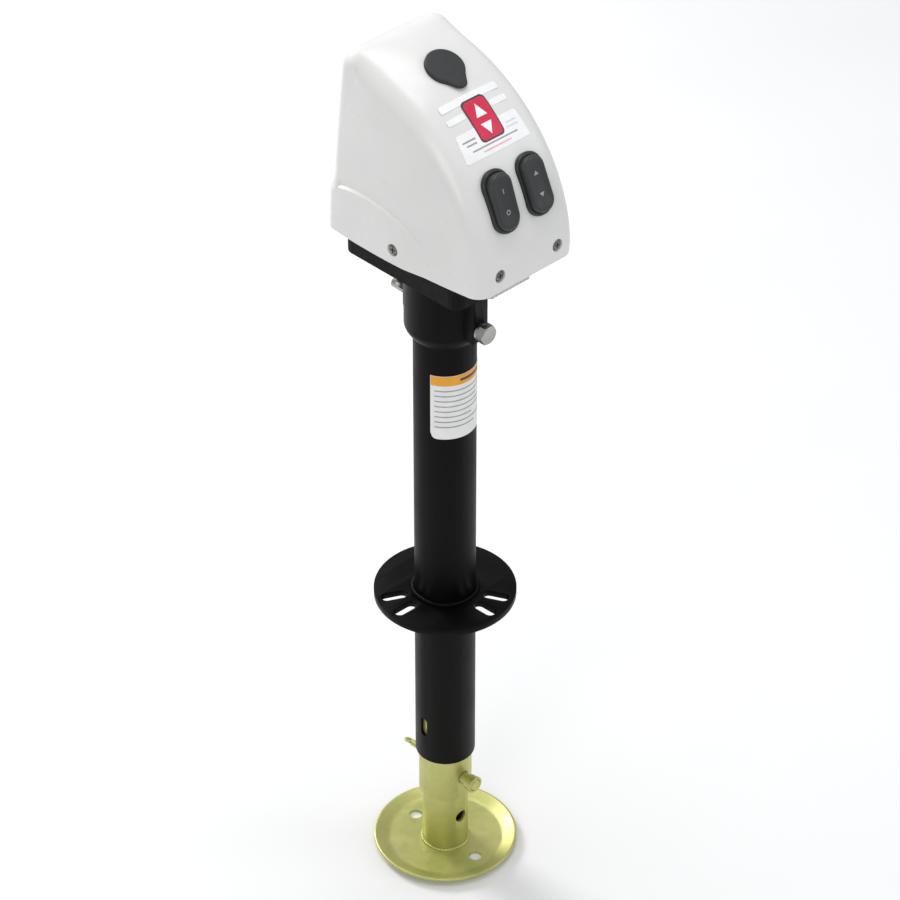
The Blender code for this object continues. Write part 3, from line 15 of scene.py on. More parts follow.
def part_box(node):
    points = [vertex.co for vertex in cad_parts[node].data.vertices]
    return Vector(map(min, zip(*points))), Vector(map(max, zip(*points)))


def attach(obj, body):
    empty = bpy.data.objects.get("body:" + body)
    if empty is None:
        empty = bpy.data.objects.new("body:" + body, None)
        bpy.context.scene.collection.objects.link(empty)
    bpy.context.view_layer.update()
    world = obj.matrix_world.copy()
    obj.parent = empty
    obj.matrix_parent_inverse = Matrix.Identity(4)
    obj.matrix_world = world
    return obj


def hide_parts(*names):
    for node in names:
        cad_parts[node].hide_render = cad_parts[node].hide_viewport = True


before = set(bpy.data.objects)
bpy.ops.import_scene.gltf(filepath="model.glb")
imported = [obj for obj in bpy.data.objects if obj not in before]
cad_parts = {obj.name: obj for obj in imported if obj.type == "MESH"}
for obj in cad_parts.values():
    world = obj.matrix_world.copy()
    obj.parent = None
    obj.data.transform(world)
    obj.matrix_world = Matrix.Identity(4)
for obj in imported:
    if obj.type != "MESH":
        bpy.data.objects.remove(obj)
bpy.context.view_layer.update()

HEAD, RAM, PIN, KEEPER, CAP = "head", "ram", "pin", "keeper", "cap"
WELD = 0.000005
THIN = 0.0003

# Drive head cover, as in the frame's solid but with a rounder rear top corner
COVER_BOTTOM = 0.7095
COVER_WALL = 0.003
ELLIPSE_Y = 0.080
ELLIPSE_Z = 0.720
ELLIPSE_DEPTH = 0.1825
ELLIPSE_RISE = 0.169
FRONT_TUCK = 0.001
REAR_CORNER_Y = 0.0470
REAR_BOTTOM_Y = 0.0785
REAR_CORNER = 0.024
HALF_WIDTH = 0.067
WIDEST_Y = 0.020
BOW = 0.0056
BOW_SPAN = 0.090
DRAFT = 0.0116
DRAFT_POWER = 1.6
DRAFT_HEIGHT = 0.165
FRONT_FILLET = 0.0155
TOP_FILLET = 0.024
REAR_FILLET = 0.013
REAR_BLEND_FRONT = 0.020
REAR_BLEND_BACK = 0.078
CROWN = 0.0055
TOP_EASE = 0.0005
TOP_EASE_START = 0.845
TOP_EASE_END = 0.886
SKIRT_STEP = 0.0026
SKIRT_CREST_Y = 0.030
SKIRT_CREST_Z = 0.7595
SKIRT_FALL = 4.0
SKIRT_FADE_FRONT = -0.045
SKIRT_FADE_BACK = -0.015
SKIRT_RAMP = 0.0012
ELLIPSE_STEPS = 56
REAR_ARC_STEPS = 12
FLAT_STEPS = 8
FILLET_STEPS = 12
UPPER_ROWS = 12
RAMP_ROWS = 4
LOWER_ROWS = 6

# Switches
SWITCH_X = 0.0198
SWITCH_Z = 0.7875
BEZEL = (0.0294, 0.0562, 0.0136)
BEZEL_PROUD = 0.0022
SWITCH_BODY = (0.0276, 0.0544, 0.0127)
SWITCH_BODY_DEPTH = 0.022
WELL = (0.0250, 0.0516, 0.0114)
WELL_FLOOR = -0.0103
ROCKER = (0.0242, 0.0504, 0.0110)
ROCKER_TOP = 0.0074
ROCKER_BOTTOM = -0.0045
ROCKER_PIVOT = -0.0015
LIGHT_ROCKER_TILT = 5.0

# Crank cap
CAP_RADIUS = 0.018
CAP_SEAT = -0.0013
CAP_TOP = 0.0027
CAP_PLUG_RADIUS = 0.0134
CAP_PLUG_END = -0.0103
CAP_TAB_REACH = 0.0252
CAP_TAB_HALF = 0.0042
CAP_TAB_TURN = 40.0
CAP_HOLE_RADIUS = 0.014

# Fasteners
FRONT_SCREW = (0.0343, 0.726)
SIDE_SCREW = (-0.007, 0.7235)
SCREW_RECESS_RADIUS = 0.0059
SCREW_RECESS_DEPTH = 0.0035
BOLT_FLATS = 0.017
NUT_FLATS = 0.013
BOLT_HEIGHT = 0.626
BOLT_HOLE_RADIUS = 0.0053
NUT_POCKET_RADIUS = 0.0079
PIN_HEIGHT = 0.0945
PIN_HOLE_RADIUS = 0.0065


# ---------------------------------------------------------------- materials


def srgb(red, green, blue):
    def linear(value):
        value /= 255.0
        return value / 12.92 if value <= 0.04045 else ((value + 0.055) / 1.055) ** 2.4

    return (linear(red), linear(green), linear(blue), 1.0)


class Finish:
    """A procedural material: noise for colour, roughness and relief, in object space."""

    def __init__(self, name):
        self.material = bpy.data.materials.new(name)
        self.material.use_nodes = True
        self.tree = self.material.node_tree
        self.shader = self.tree.nodes["Principled BSDF"]
        self.place = self.tree.nodes.new("ShaderNodeTexCoord").outputs["Object"]

    def link(self, source, target):
        self.tree.links.new(source, target)

    def noise(self, scale, detail=3.0, stretch=None, roughness=0.5):
        place = self.place
        if stretch:
            mapping = self.tree.nodes.new("ShaderNodeMapping")
            mapping.inputs["Scale"].default_value = stretch
            self.link(place, mapping.inputs["Vector"])
            place = mapping.outputs["Vector"]
        node = self.tree.nodes.new("ShaderNodeTexNoise")
        node.inputs["Scale"].default_value = scale
        node.inputs["Detail"].default_value = detail
        node.inputs["Roughness"].default_value = roughness
        self.link(place, node.inputs["Vector"])
        return node.outputs["Fac"]

    def cells(self, scale, randomness=1.0):
        node = self.tree.nodes.new("ShaderNodeTexVoronoi")
        node.inputs["Scale"].default_value = scale
        node.inputs["Randomness"].default_value = randomness
        self.link(self.place, node.inputs["Vector"])
        return node.outputs["Distance"]

    def ramp(self, value, *stops):
        node = self.tree.nodes.new("ShaderNodeValToRGB")
        elements = node.color_ramp.elements
        while len(elements) < len(stops):
            elements.new(0.5)
        for element, (position, colour) in zip(elements, stops):
            element.position = position
            element.color = colour if isinstance(colour, tuple) else (colour, colour, colour, 1.0)
        self.link(value, node.inputs["Fac"])
        return node.outputs["Color"]

    def spread(self, value, low, high):
        node = self.tree.nodes.new("ShaderNodeMapRange")
        node.inputs["From Min"].default_value = 0.3
        node.inputs["From Max"].default_value = 0.7
        node.inputs["To Min"].default_value = low
        node.inputs["To Max"].default_value = high
        self.link(value, node.inputs["Value"])
        return node.outputs["Result"]

    def blend(self, share, first, second):
        """A mix of two colours, with share of the second."""
        node = self.tree.nodes.new("ShaderNodeMix")
        node.data_type = "RGBA"
        factor, colour_a, colour_b, result = 0, 6, 7, 2
        node.inputs[factor].default_value = share
        self.link(first, node.inputs[colour_a])
        self.link(second, node.inputs[colour_b])
        return node.outputs[result]

    def relief(self, *layers):
        """Bump layers of (height, strength, depth), the first the coarsest."""
        last = None
        for height, strength, depth in layers:
            node = self.tree.nodes.new("ShaderNodeBump")
            node.inputs["Strength"].default_value = strength
            node.inputs["Distance"].default_value = depth
            self.link(height, node.inputs["Height"])
            if last:
                self.link(last, node.inputs["Normal"])
            last = node.outputs["Normal"]
        self.link(last, self.shader.inputs["Normal"])

    def set(self, colour, roughness, **sockets):
        self.link(colour, self.shader.inputs["Base Color"])
        if isinstance(roughness, float):
            self.shader.inputs["Roughness"].default_value = roughness
        else:
            self.link(roughness, self.shader.inputs["Roughness"])
        for name, value in sockets.items():
            self.shader.inputs[name.replace("_", " ")].default_value = value
        return self.material


def cover_plastic():
    """Light grey moulded plastic: a faint flow mottle and a fine satin grain."""
    f = Finish("cover_plastic")
    broad = f.noise(14.0, 4.0)
    colour = f.ramp(broad, (0.30, srgb(223, 223, 221)), (0.70, srgb(230, 230, 228)))
    grain = f.noise(2200.0, 2.0)
    f.relief((f.noise(60.0, 2.0), 0.05, 0.0004), (grain, 0.10, 0.00008))
    roughness = f.spread(f.noise(90.0, 5.0), 0.27, 0.36)
    return f.set(colour, roughness, Coat_Weight=0.2, Coat_Roughness=0.18, Specular_IOR_Level=0.5)


def powder_black(name="black_powder", shade=1.0):
    """Semi-gloss black powder coat with its orange-peel skin and a trace of dust."""
    f = Finish(name)
    dust = f.noise(26.0, 6.0, roughness=0.65)
    dark = (0.0022 * shade, 0.0022 * shade, 0.0020 * shade, 1.0)
    light = (0.0044 * shade, 0.0043 * shade, 0.0038 * shade, 1.0)
    colour = f.ramp(dust, (0.35, dark), (0.75, light))
    f.relief((f.noise(420.0, 2.0), 0.16, 0.0003), (f.noise(3000.0, 1.0), 0.05, 0.00005))
    return f.set(colour, f.spread(dust, 0.38, 0.50), Specular_IOR_Level=0.09)


def zinc_yellow(name, stretch):
    """Yellow chromate over zinc: green-gold, with drifting pink and green casts."""
    f = Finish(name)
    drift = f.noise(16.0, 5.0, roughness=0.6)
    cast = f.noise(48.0, 4.0, roughness=0.7)
    base = f.ramp(
        drift,
        (0.28, srgb(176, 180, 104)),
        (0.50, srgb(194, 194, 122)),
        (0.74, srgb(203, 200, 138)),
    )
    tint = f.ramp(
        cast,
        (0.34, srgb(166, 178, 110)),
        (0.52, srgb(196, 194, 124)),
        (0.72, srgb(206, 190, 132)),
    )
    colour = f.blend(0.35, base, tint)
    drawn = f.noise(130.0, 4.0, stretch)
    spangle = f.cells(700.0)
    f.relief((f.noise(70.0, 3.0), 0.12, 0.0005), (drawn, 0.10, 0.0002), (spangle, 0.05, 0.0001))
    return f.set(colour, f.spread(drawn, 0.36, 0.52), Metallic=0.72, Specular_IOR_Level=0.5)


def metal(name, low, high, roughness, grain=(1.0, 1.0, 1.0), scale=260.0, metallic=1.0):
    """Plain machined or plated metal with tool marks, stretched along one direction only when grain is
    given.
    """
    f = Finish(name)
    marks = f.noise(scale, 5.0, grain, 0.6)
    stain = f.noise(34.0, 4.0)
    colour = f.ramp(stain, (0.30, low), (0.72, high))
    f.relief((marks, 0.12, 0.0002))
    rough = f.spread(marks, roughness - 0.06, roughness + 0.10)
    return f.set(colour, rough, Metallic=metallic)


def plastic(name, low, high, roughness, grain=900.0, depth=0.16, specular=0.5):
    """Moulded plastic with a spark-eroded texture."""
    f = Finish(name)
    colour = f.ramp(f.noise(40.0, 4.0), (0.32, low), (0.70, high))
    f.relief((f.cells(grain), depth, 0.0002))
    gloss = f.spread(f.noise(180.0, 4.0), roughness - 0.05, roughness + 0.08)
    return f.set(colour, gloss, Specular_IOR_Level=specular)


def rubber():
    f = Finish("cap_rubber")
    bloom = f.noise(55.0, 6.0, roughness=0.7)
    colour = f.ramp(bloom, (0.32, srgb(47, 48, 50)), (0.72, srgb(57, 58, 60)))
    f.relief((f.noise(1500.0, 3.0), 0.25, 0.0002))
    return f.set(colour, f.spread(bloom, 0.52, 0.68), Specular_IOR_Level=0.35)


def print_ink(name, low, high, roughness=0.42):
    """Screen print on vinyl film."""
    f = Finish(name)
    colour = f.ramp(f.noise(120.0, 4.0), (0.32, low), (0.70, high))
    f.relief((f.noise(1400.0, 2.0), 0.06, 0.0001))
    return f.set(colour, f.spread(f.noise(300.0, 3.0), roughness - 0.05, roughness + 0.06))


def lens_plastic():
    f = Finish("lens_plastic")
    colour = f.ramp(f.noise(60.0, 3.0), (0.3, srgb(205, 208, 208)), (0.7, srgb(222, 224, 223)))
    f.relief((f.noise(1200.0, 2.0), 0.10, 0.0001))
    return f.set(
        colour, f.spread(f.noise(200.0, 2.0), 0.16, 0.26), Transmission_Weight=0.25, IOR=1.49
    )


def circuit_board():
    f = Finish("circuit_board")
    tracks = f.noise(420.0, 0.0, (1.0, 0.2, 3.0))
    colour = f.ramp(tracks, (0.46, (0.01, 0.09, 0.03, 1.0)), (0.50, (0.04, 0.22, 0.08, 1.0)))
    f.relief((tracks, 0.2, 0.0001))
    return f.set(colour, 0.4)


def windings():
    """Rotor: steel laminations with copper turns showing between them."""
    f = Finish("rotor_windings")
    bands = f.noise(300.0, 2.0, (1.0, 1.0, 0.12))
    colour = f.ramp(bands, (0.44, (0.45, 0.16, 0.06, 1.0)), (0.56, (0.32, 0.31, 0.30, 1.0)))
    f.relief((bands, 0.3, 0.0003))
    return f.set(colour, f.spread(bands, 0.35, 0.5), Metallic=0.9)


# ---------------------------------------------------------------- pieces and shapes


def link(obj):
    bpy.context.scene.collection.objects.link(obj)
    return obj


def smooth(mesh, angle=32.0):
    mesh.shade_smooth()
    mesh.set_sharp_from_angle(angle=math.radians(angle))
    return mesh


def mesh_of(name, vertices, faces):
    mesh = bpy.data.meshes.new(name)
    mesh.from_pydata([tuple(v) for v in vertices], [], faces)
    bm = bmesh.new()
    bm.from_mesh(mesh)
    bmesh.ops.remove_doubles(bm, verts=bm.verts, dist=WELD)
    bmesh.ops.recalc_face_normals(bm, faces=bm.faces)
    bm.to_mesh(mesh)
    bm.free()
    return mesh


def bake(obj):
    """Apply all of an object's modifiers to its mesh."""
    graph = bpy.context.evaluated_depsgraph_get()
    mesh = bpy.data.meshes.new_from_object(obj.evaluated_get(graph))
    obj.modifiers.clear()
    obj.data = mesh
    return obj


def solid(name, mesh, matrix=None):
    obj = link(bpy.data.objects.new(name, mesh))
    if matrix is not None:
        obj.matrix_world = matrix
    return obj


def combine(target, tools, operation):
    """Apply Booleans with each tool in turn, and remove the tools."""
    for tool in tools:
        modifier = target.modifiers.new(tool.name, "BOOLEAN")
        modifier.operation = operation
        modifier.solver = "EXACT"
        modifier.object = tool
    bake(target)
    for tool in tools:
        bpy.data.objects.remove(tool)
    return target


def cut(target, *tools):
    return combine(target, tools, "DIFFERENCE")


def join(target, *tools):
    return combine(target, tools, "UNION")


def soften_edges(obj, width, segments=3, angle=30.0):
    modifier = obj.modifiers.new("edges", "BEVEL")
    modifier.width = width
    modifier.segments = segments
    modifier.limit_method = "ANGLE"
    modifier.angle_limit = math.radians(angle)
    modifier.harden_normals = False
    bake(obj)
    smooth(obj.data, 40.0)
    return obj


def settle(obj, material, body, nodes=()):
    """Give a finished piece its material, body, and the CAD solids that it stands for."""
    obj.data.materials.clear()
    obj.data.materials.append(material)
    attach(obj, body)
    if nodes:
        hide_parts(*nodes)
    return obj


def rounded(points, radius, steps=4, closed=True):
    """A polygon with its corners rounded, except those on the axis."""
    count = len(points)
    result = []
    for index, point in enumerate(points):
        here = Vector(point)
        ends = not closed and index in (0, count - 1)
        if ends or abs(here.x) < 1e-9:
            result.append(tuple(here))
            continue
        before, after = Vector(points[index - 1]), Vector(points[(index + 1) % count])
        reach = min(radius, 0.45 * (before - here).length, 0.45 * (after - here).length)
        start = here + (before - here).normalized() * reach
        end = here + (after - here).normalized() * reach
        for step in range(steps + 1):
            share = step / steps
            place = start.lerp(here, share).lerp(here.lerp(end, share), share)
            result.append(tuple(place))
    return result


def lathe(name, profile, segments=96):
    """Turn (radius, height) points about Z. A profile that meets the axis closes there."""
    on_axis = profile[0][0] < 1e-9 and profile[-1][0] < 1e-9
    vertices = []
    for step in range(segments):
        angle = 2.0 * math.pi * step / segments
        for radius, height in profile:
            vertices.append((radius * math.cos(angle), radius * math.sin(angle), height))
    count = len(profile)
    faces = []
    for step in range(segments):
        first, second = step * count, (step + 1) % segments * count
        for index in range(count - 1 if on_axis else count):
            after = (index + 1) % count
            corners = [first + index, second + index, second + after, first + after]
            faces.append(corners)
    mesh = bpy.data.meshes.new(name)
    mesh.from_pydata(vertices, [], faces)
    bm = bmesh.new()
    bm.from_mesh(mesh)
    bmesh.ops.remove_doubles(bm, verts=bm.verts, dist=WELD)
    bmesh.ops.dissolve_degenerate(bm, edges=bm.edges, dist=WELD)
    bmesh.ops.recalc_face_normals(bm, faces=bm.faces)
    bm.to_mesh(mesh)
    bm.free()
    return smooth(mesh)


def pipe(outer, inner, bottom, top, edge=0.0004):
    return rounded([(outer, top), (outer, bottom), (inner, bottom), (inner, top)], edge, 3)


def rod(name, radius, length, segments=40):
    half = length / 2
    return lathe(name, [(0.0, half), (radius, half), (radius, -half), (0.0, -half)], segments)


def aimed(centre, axis):
    turn = Vector((0.0, 0.0, 1.0)).rotation_difference(Vector(axis))
    return Matrix.Translation(centre) @ turn.to_matrix().to_4x4()


def circle(radius, segments, centre=(0.0, 0.0)):
    turns = [2.0 * math.pi * i / segments for i in range(segments)]
    return [(centre[0] + radius * math.cos(a), centre[1] + radius * math.sin(a)) for a in turns]


def oblong(width, length, corner, steps=10, centre=(0.0, 0.0)):
    corners = (
        (width / 2 - corner, corner - length / 2, -90.0),
        (width / 2 - corner, length / 2 - corner, 0.0),
        (corner - width / 2, length / 2 - corner, 90.0),
        (corner - width / 2, corner - length / 2, 180.0),
    )
    points = []
    for x, y, start in corners:
        for step in range(steps + 1):
            angle = math.radians(start + 90.0 * step / steps)
            across = centre[0] + x + corner * math.cos(angle)
            points.append((across, centre[1] + y + corner * math.sin(angle)))
    return points


def hexagon(across_flats):
    return circle(across_flats / 2 / math.cos(math.pi / 6), 6)


def slab(name, outlines, bottom, top):
    """Flat outlines, the first outside and the others holes, made thick along Z."""
    curve = bpy.data.curves.new(name, "CURVE")
    curve.dimensions = "2D"
    curve.fill_mode = "BOTH"
    curve.extrude = (top - bottom) / 2
    for outline in outlines:
        spline = curve.splines.new("POLY")
        spline.points.add(len(outline) - 1)
        for point, (x, y) in zip(spline.points, outline):
            point.co = (x, y, 0.0, 1.0)
        spline.use_cyclic_u = True
    source = link(bpy.data.objects.new(name + "_outline", curve))
    graph = bpy.context.evaluated_depsgraph_get()
    mesh = bpy.data.meshes.new_from_object(source.evaluated_get(graph))
    bpy.data.objects.remove(source)
    bpy.data.curves.remove(curve)
    bm = bmesh.new()
    bm.from_mesh(mesh)
    bmesh.ops.remove_doubles(bm, verts=bm.verts, dist=WELD)
    bmesh.ops.translate(bm, verts=bm.verts, vec=(0.0, 0.0, (bottom + top) / 2))
    bmesh.ops.recalc_face_normals(bm, faces=bm.faces)
    bm.to_mesh(mesh)
    bm.free()
    return smooth(mesh)


def stacked(name, outline, levels, crown, rings=(0.85, 0.6, 0.3)):
    """A closed pad: outline(inset) at each (inset, height), then a crowned top."""
    loops = []
    for inset, height in levels:
        loops.append([Vector((x, y, height)) for x, y in outline(inset)])
    inset, height = levels[-1]
    last = outline(inset)
    middle = Vector((0.0, 0.0))
    for x, y in last:
        middle += Vector((x, y)) / len(last)
    for share in rings:
        loop = []
        for x, y in last:
            place = middle.lerp(Vector((x, y)), share)
            loop.append(Vector((place.x, place.y, height + crown(place.x, place.y, 1.0 - share))))
        loops.append(loop)
    vertices = [v for loop in loops for v in loop]
    count = len(last)
    faces = [list(range(count))]
    for level in range(len(loops) - 1):
        for index in range(count):
            after = (index + 1) % count
            low, high = level * count, (level + 1) * count
            faces.append([low + index, low + after, high + after, high + index])
    top = len(vertices)
    vertices.append(Vector((middle.x, middle.y, height + crown(middle.x, middle.y, 1.0))))
    start = (len(loops) - 1) * count
    for index in range(count):
        faces.append([start + index, start + (index + 1) % count, top])
    return smooth(mesh_of(name, vertices, faces))


def sheet(name, place, columns, rows, lift, sink=0.0002):
    """A closed thin film. place(i, j) gives a (point, normal) for shares i and j of 0 to 1."""
    vertices, faces = [], []
    for height in (lift, -sink):
        for i in range(columns + 1):
            for j in range(rows + 1):
                point, normal = place(i / columns, j / rows)
                vertices.append(point + normal * height)
    side = (columns + 1) * (rows + 1)

    def index(i, j, layer):
        return layer * side + i * (rows + 1) + j

    for i in range(columns):
        for j in range(rows):
            corners = ((i, j), (i + 1, j), (i + 1, j + 1), (i, j + 1))
            faces.append([index(a, b, 0) for a, b in corners])
            faces.append([index(a, b, 1) for a, b in reversed(corners)])
    edge = [(i, 0) for i in range(columns)] + [(columns, j) for j in range(rows)]
    edge += [(i, rows) for i in range(columns, 0, -1)] + [(0, j) for j in range(rows, 0, -1)]
    for (a, b), (c, d) in zip(edge, edge[1:] + edge[:1]):
        faces.append([index(a, b, 0), index(a, b, 1), index(c, d, 1), index(c, d, 0)])
    return smooth(mesh_of(name, vertices, faces))


def moved(name, mesh, matrix=None):
    """A solid with its place written into its mesh."""
    if matrix is not None:
        mesh.transform(matrix)
    return solid(name, mesh)


# ---------------------------------------------------------------- the cover's surface


def smooth_step(low, high, value):
    share = min(1.0, max(0.0, (value - low) / (high - low)))
    return share * share * (3.0 - 2.0 * share)


def front_y(z):
    if z <= ELLIPSE_Z:
        tuck = FRONT_TUCK * (ELLIPSE_Z - z) / (ELLIPSE_Z - COVER_BOTTOM)
        return ELLIPSE_Y - ELLIPSE_DEPTH + tuck
    rise = (z - ELLIPSE_Z) / ELLIPSE_RISE
    return ELLIPSE_Y - ELLIPSE_DEPTH * math.sqrt(1.0 - rise * rise)


def top_z(y):
    share = (y - ELLIPSE_Y) / ELLIPSE_DEPTH
    return ELLIPSE_Z + ELLIPSE_RISE * math.sqrt(1.0 - share * share)


def outward(y, z):
    normal = Vector(((y - ELLIPSE_Y) / ELLIPSE_DEPTH**2, (z - ELLIPSE_Z) / ELLIPSE_RISE**2))
    return normal.normalized()


def skirt_line(y):
    return SKIRT_CREST_Z - SKIRT_FALL * (y - SKIRT_CREST_Y) ** 2


def skirt_proud(y, z):
    line = skirt_line(y)
    below = 1.0 - smooth_step(line - SKIRT_RAMP, line + SKIRT_RAMP, z)
    return SKIRT_STEP * below * smooth_step(SKIRT_FADE_FRONT, SKIRT_FADE_BACK, y)


def side_x(y, z):
    bow = BOW * ((y - WIDEST_Y) / BOW_SPAN) ** 2
    lean = DRAFT * (max(0.0, z - COVER_BOTTOM) / DRAFT_HEIGHT) ** DRAFT_POWER
    return HALF_WIDTH - bow - lean + skirt_proud(y, z)


def side_view():
    """Points round the cover in side view, front bottom to rear bottom, as (point, normal)."""
    places = [(Vector((front_y(COVER_BOTTOM), COVER_BOTTOM)), Vector((-1.0, 0.0)))]
    last = math.acos((ELLIPSE_Y - REAR_CORNER_Y) / ELLIPSE_DEPTH)
    for step in range(ELLIPSE_STEPS + 1):
        angle = last * step / ELLIPSE_STEPS
        y = ELLIPSE_Y - ELLIPSE_DEPTH * math.cos(angle)
        z = ELLIPSE_Z + ELLIPSE_RISE * math.sin(angle)
        places.append((Vector((y, z)), outward(y, z)))
    point, normal = places[-1]
    centre = point - REAR_CORNER * normal
    start = math.atan2(normal.x, normal.y)
    for step in range(1, REAR_ARC_STEPS + 1):
        turn = start + (math.pi / 2 - start) * step / REAR_ARC_STEPS
        normal = Vector((math.sin(turn), math.cos(turn)))
        places.append((centre + REAR_CORNER * normal, normal))
    rear_top_y, corner_z = places[-1][0]
    line = skirt_line(REAR_BOTTOM_Y)
    heights = [corner_z + (line + SKIRT_RAMP - corner_z) * step / 10 for step in range(1, 10)]
    heights += [line + SKIRT_RAMP * (1.0 - step / 2) for step in range(5)]
    heights += [line - SKIRT_RAMP + (COVER_BOTTOM - line + SKIRT_RAMP) * step / 6 for step in range(1, 7)]
    for z in heights:
        share = (corner_z - z) / (corner_z - COVER_BOTTOM)
        y = rear_top_y + (REAR_BOTTOM_Y - rear_top_y) * share + skirt_proud(REAR_BOTTOM_Y, z)
        places.append((Vector((y, z)), Vector((1.0, 0.0))))
    return places


def rear_share(y):
    """0 over the front and top of the cover, rising to 1 on its rear face."""
    return smooth_step(REAR_BLEND_FRONT, REAR_BLEND_BACK, y)


def crown_at(progress, y):
    return CROWN * progress * (1.0 - rear_share(y))


def across(point, normal, progress):
    """Points from the middle of the cover out over its fillet."""
    fillet = FRONT_FILLET + (TOP_FILLET - FRONT_FILLET) * progress
    fillet += (REAR_FILLET - fillet) * rear_share(point.x)
    crown = crown_at(progress, point.x)
    slope = math.atan2(crown, FRONT_FILLET)
    end = point - normal * (crown + fillet * math.cos(slope))
    flat = side_x(end.x, end.y) - fillet * (1.0 - math.sin(slope))
    line = []
    for step in range(FLAT_STEPS):
        x = flat * step / FLAT_STEPS
        line.append((x, point - normal * crown * (x / flat) ** 2))
    for step in range(FILLET_STEPS + 1):
        angle = slope + (math.pi / 2 - slope) * step / FILLET_STEPS
        x = flat + fillet * (math.sin(angle) - math.sin(slope))
        drop = crown + fillet * (math.cos(slope) - math.cos(angle))
        line.append((x, point - normal * drop))
    return line


def down_side(start, end):
    """Places down the side to the bottom edge, close together where the skirt stands out."""
    crossing = 0.0
    if start.y > skirt_line(start.x):
        low, high = 0.0, 1.0
        for _ in range(40):
            crossing = (low + high) / 2
            place = start.lerp(end, crossing)
            low, high = (crossing, high) if place.y > skirt_line(place.x) else (low, crossing)
    length = max((end - start).length, SKIRT_RAMP)
    ramp = min(1.5 * SKIRT_RAMP / length, crossing / 2, (1.0 - crossing) / 2)
    above, below = crossing - ramp, crossing + ramp
    shares = [above * row / UPPER_ROWS for row in range(1, UPPER_ROWS + 1)]
    shares += [above + (below - above) * row / RAMP_ROWS for row in range(1, RAMP_ROWS + 1)]
    shares += [below + (1.0 - below) * row / LOWER_ROWS for row in range(1, LOWER_ROWS + 1)]
    return [start.lerp(end, share) for share in shares]


def eased(z):
    """Lowers the top a little, so that the finer mesh stays within the solid's height."""
    return z - TOP_EASE * smooth_step(TOP_EASE_START, TOP_EASE_END, z)


def cover_skin():
    """The +X half of the cover's outer surface."""
    places = side_view()
    lengths = [0.0]
    for before, after in zip(places, places[1:]):
        lengths.append(lengths[-1] + (after[0] - before[0]).length)
    lines = []
    for (point, normal), length in zip(places, lengths):
        lines.append(across(point, normal, smooth_step(0.0, 0.55, length / lengths[-1])))
    first, last = lines[0][-1][1].x, lines[-1][-1][1].x
    vertices, faces = [], []
    for line, length in zip(lines, lengths):
        foot = Vector((first + (last - first) * length / lengths[-1], COVER_BOTTOM))
        vertices += [(x, place.x, eased(place.y)) for x, place in line]
        for place in down_side(line[-1][1], foot):
            vertices.append((side_x(place.x, place.y), place.x, eased(place.y)))
    count = len(vertices) // len(lines)
    for column in range(len(lines) - 1):
        for row in range(count - 1):
            low, high = column * count + row, (column + 1) * count + row
            faces.append([low, low + 1, high + 1, high])
    mesh = mesh_of("cover_skin", vertices, faces)
    bm = bmesh.new()
    bm.from_mesh(mesh)
    bmesh.ops.remove_doubles(bm, verts=bm.verts, dist=0.00003)
    bmesh.ops.recalc_face_normals(bm, faces=bm.faces)
    highest = max(bm.faces, key=lambda face: face.calc_center_median().z)
    if highest.normal.z < 0:
        bmesh.ops.reverse_faces(bm, faces=bm.faces)
    bm.to_mesh(mesh)
    bm.free()
    return smooth(mesh)


def panel_frame(x, y, z):
    """Frame on the cover's front or top: Z outward, X to the right."""
    normal = outward(y, z)
    out = Vector((0.0, normal.x, normal.y))
    right = Vector((1.0, 0.0, 0.0))
    turn = Matrix((right, out.cross(right), out)).transposed()
    return Matrix.Translation((x, y, z)) @ turn.to_4x4()


def switch_frame(side):
    return panel_frame(side * SWITCH_X, front_y(SWITCH_Z), SWITCH_Z)


def cap_frame():
    return panel_frame(0.0, 0.0, top_z(0.0))


def cover_screws():
    """(CAD node, place on the cover, outward axis) of each cover screw."""
    y = front_y(FRONT_SCREW[1])
    x = side_x(*SIDE_SCREW)
    return (
        ("cover_screw_front_left", (-FRONT_SCREW[0], y, FRONT_SCREW[1]), (0, -1, 0)),
        ("cover_screw_front_right", (FRONT_SCREW[0], y, FRONT_SCREW[1]), (0, -1, 0)),
        ("cover_screw_side_left", (-x, *SIDE_SCREW), (-1, 0, 0)),
        ("cover_screw_side_right", (x, *SIDE_SCREW), (1, 0, 0)),
    )


def build_cover():
    cover = solid("cover_shell", cover_skin())
    mirror = cover.modifiers.new("both sides", "MIRROR")
    mirror.merge_threshold = WELD * 4
    wall = cover.modifiers.new("wall", "SOLIDIFY")
    wall.thickness = COVER_WALL
    wall.offset = -1.0
    bake(cover)
    bosses, recesses, holes = [], [], []
    for name, centre, axis in cover_screws():
        along = Vector(axis)
        boss = rod(name + "_boss", 0.0085, 0.008)
        bosses.append(moved(name + "_boss", boss, aimed(Vector(centre) - along * 0.0055, axis)))
        recess = rod(name + "_recess", SCREW_RECESS_RADIUS, 0.02)
        middle = Vector(centre) + along * (0.01 - SCREW_RECESS_DEPTH)
        recesses.append(moved(name + "_recess", recess, aimed(middle, axis)))
    join(cover, *bosses)
    for side in (-1, 1):
        pocket = slab("pocket", [oblong(*(v + THIN for v in BEZEL))], -0.0021, 0.01)
        recesses.append(moved("pocket", pocket, switch_frame(side)))
        body = slab("opening", [oblong(*SWITCH_BODY)], -0.02, 0.01)
        holes.append(moved("opening", body, switch_frame(side)))
    seat = rod("cap_pocket", CAP_RADIUS + THIN, 0.02, 96)
    recesses.append(moved("cap_pocket", seat, cap_frame() @ Matrix.Translation((0, 0, 0.0087))))
    holes.append(moved("cap_hole", rod("cap_hole", CAP_HOLE_RADIUS, 0.04, 64), cap_frame()))
    cut(cover, *recesses)
    cut(cover, *holes)
    smooth(cover.data, 28.0)
    settle(cover, COVER, HEAD, ["cover"])


# ---------------------------------------------------------------- print on the cover


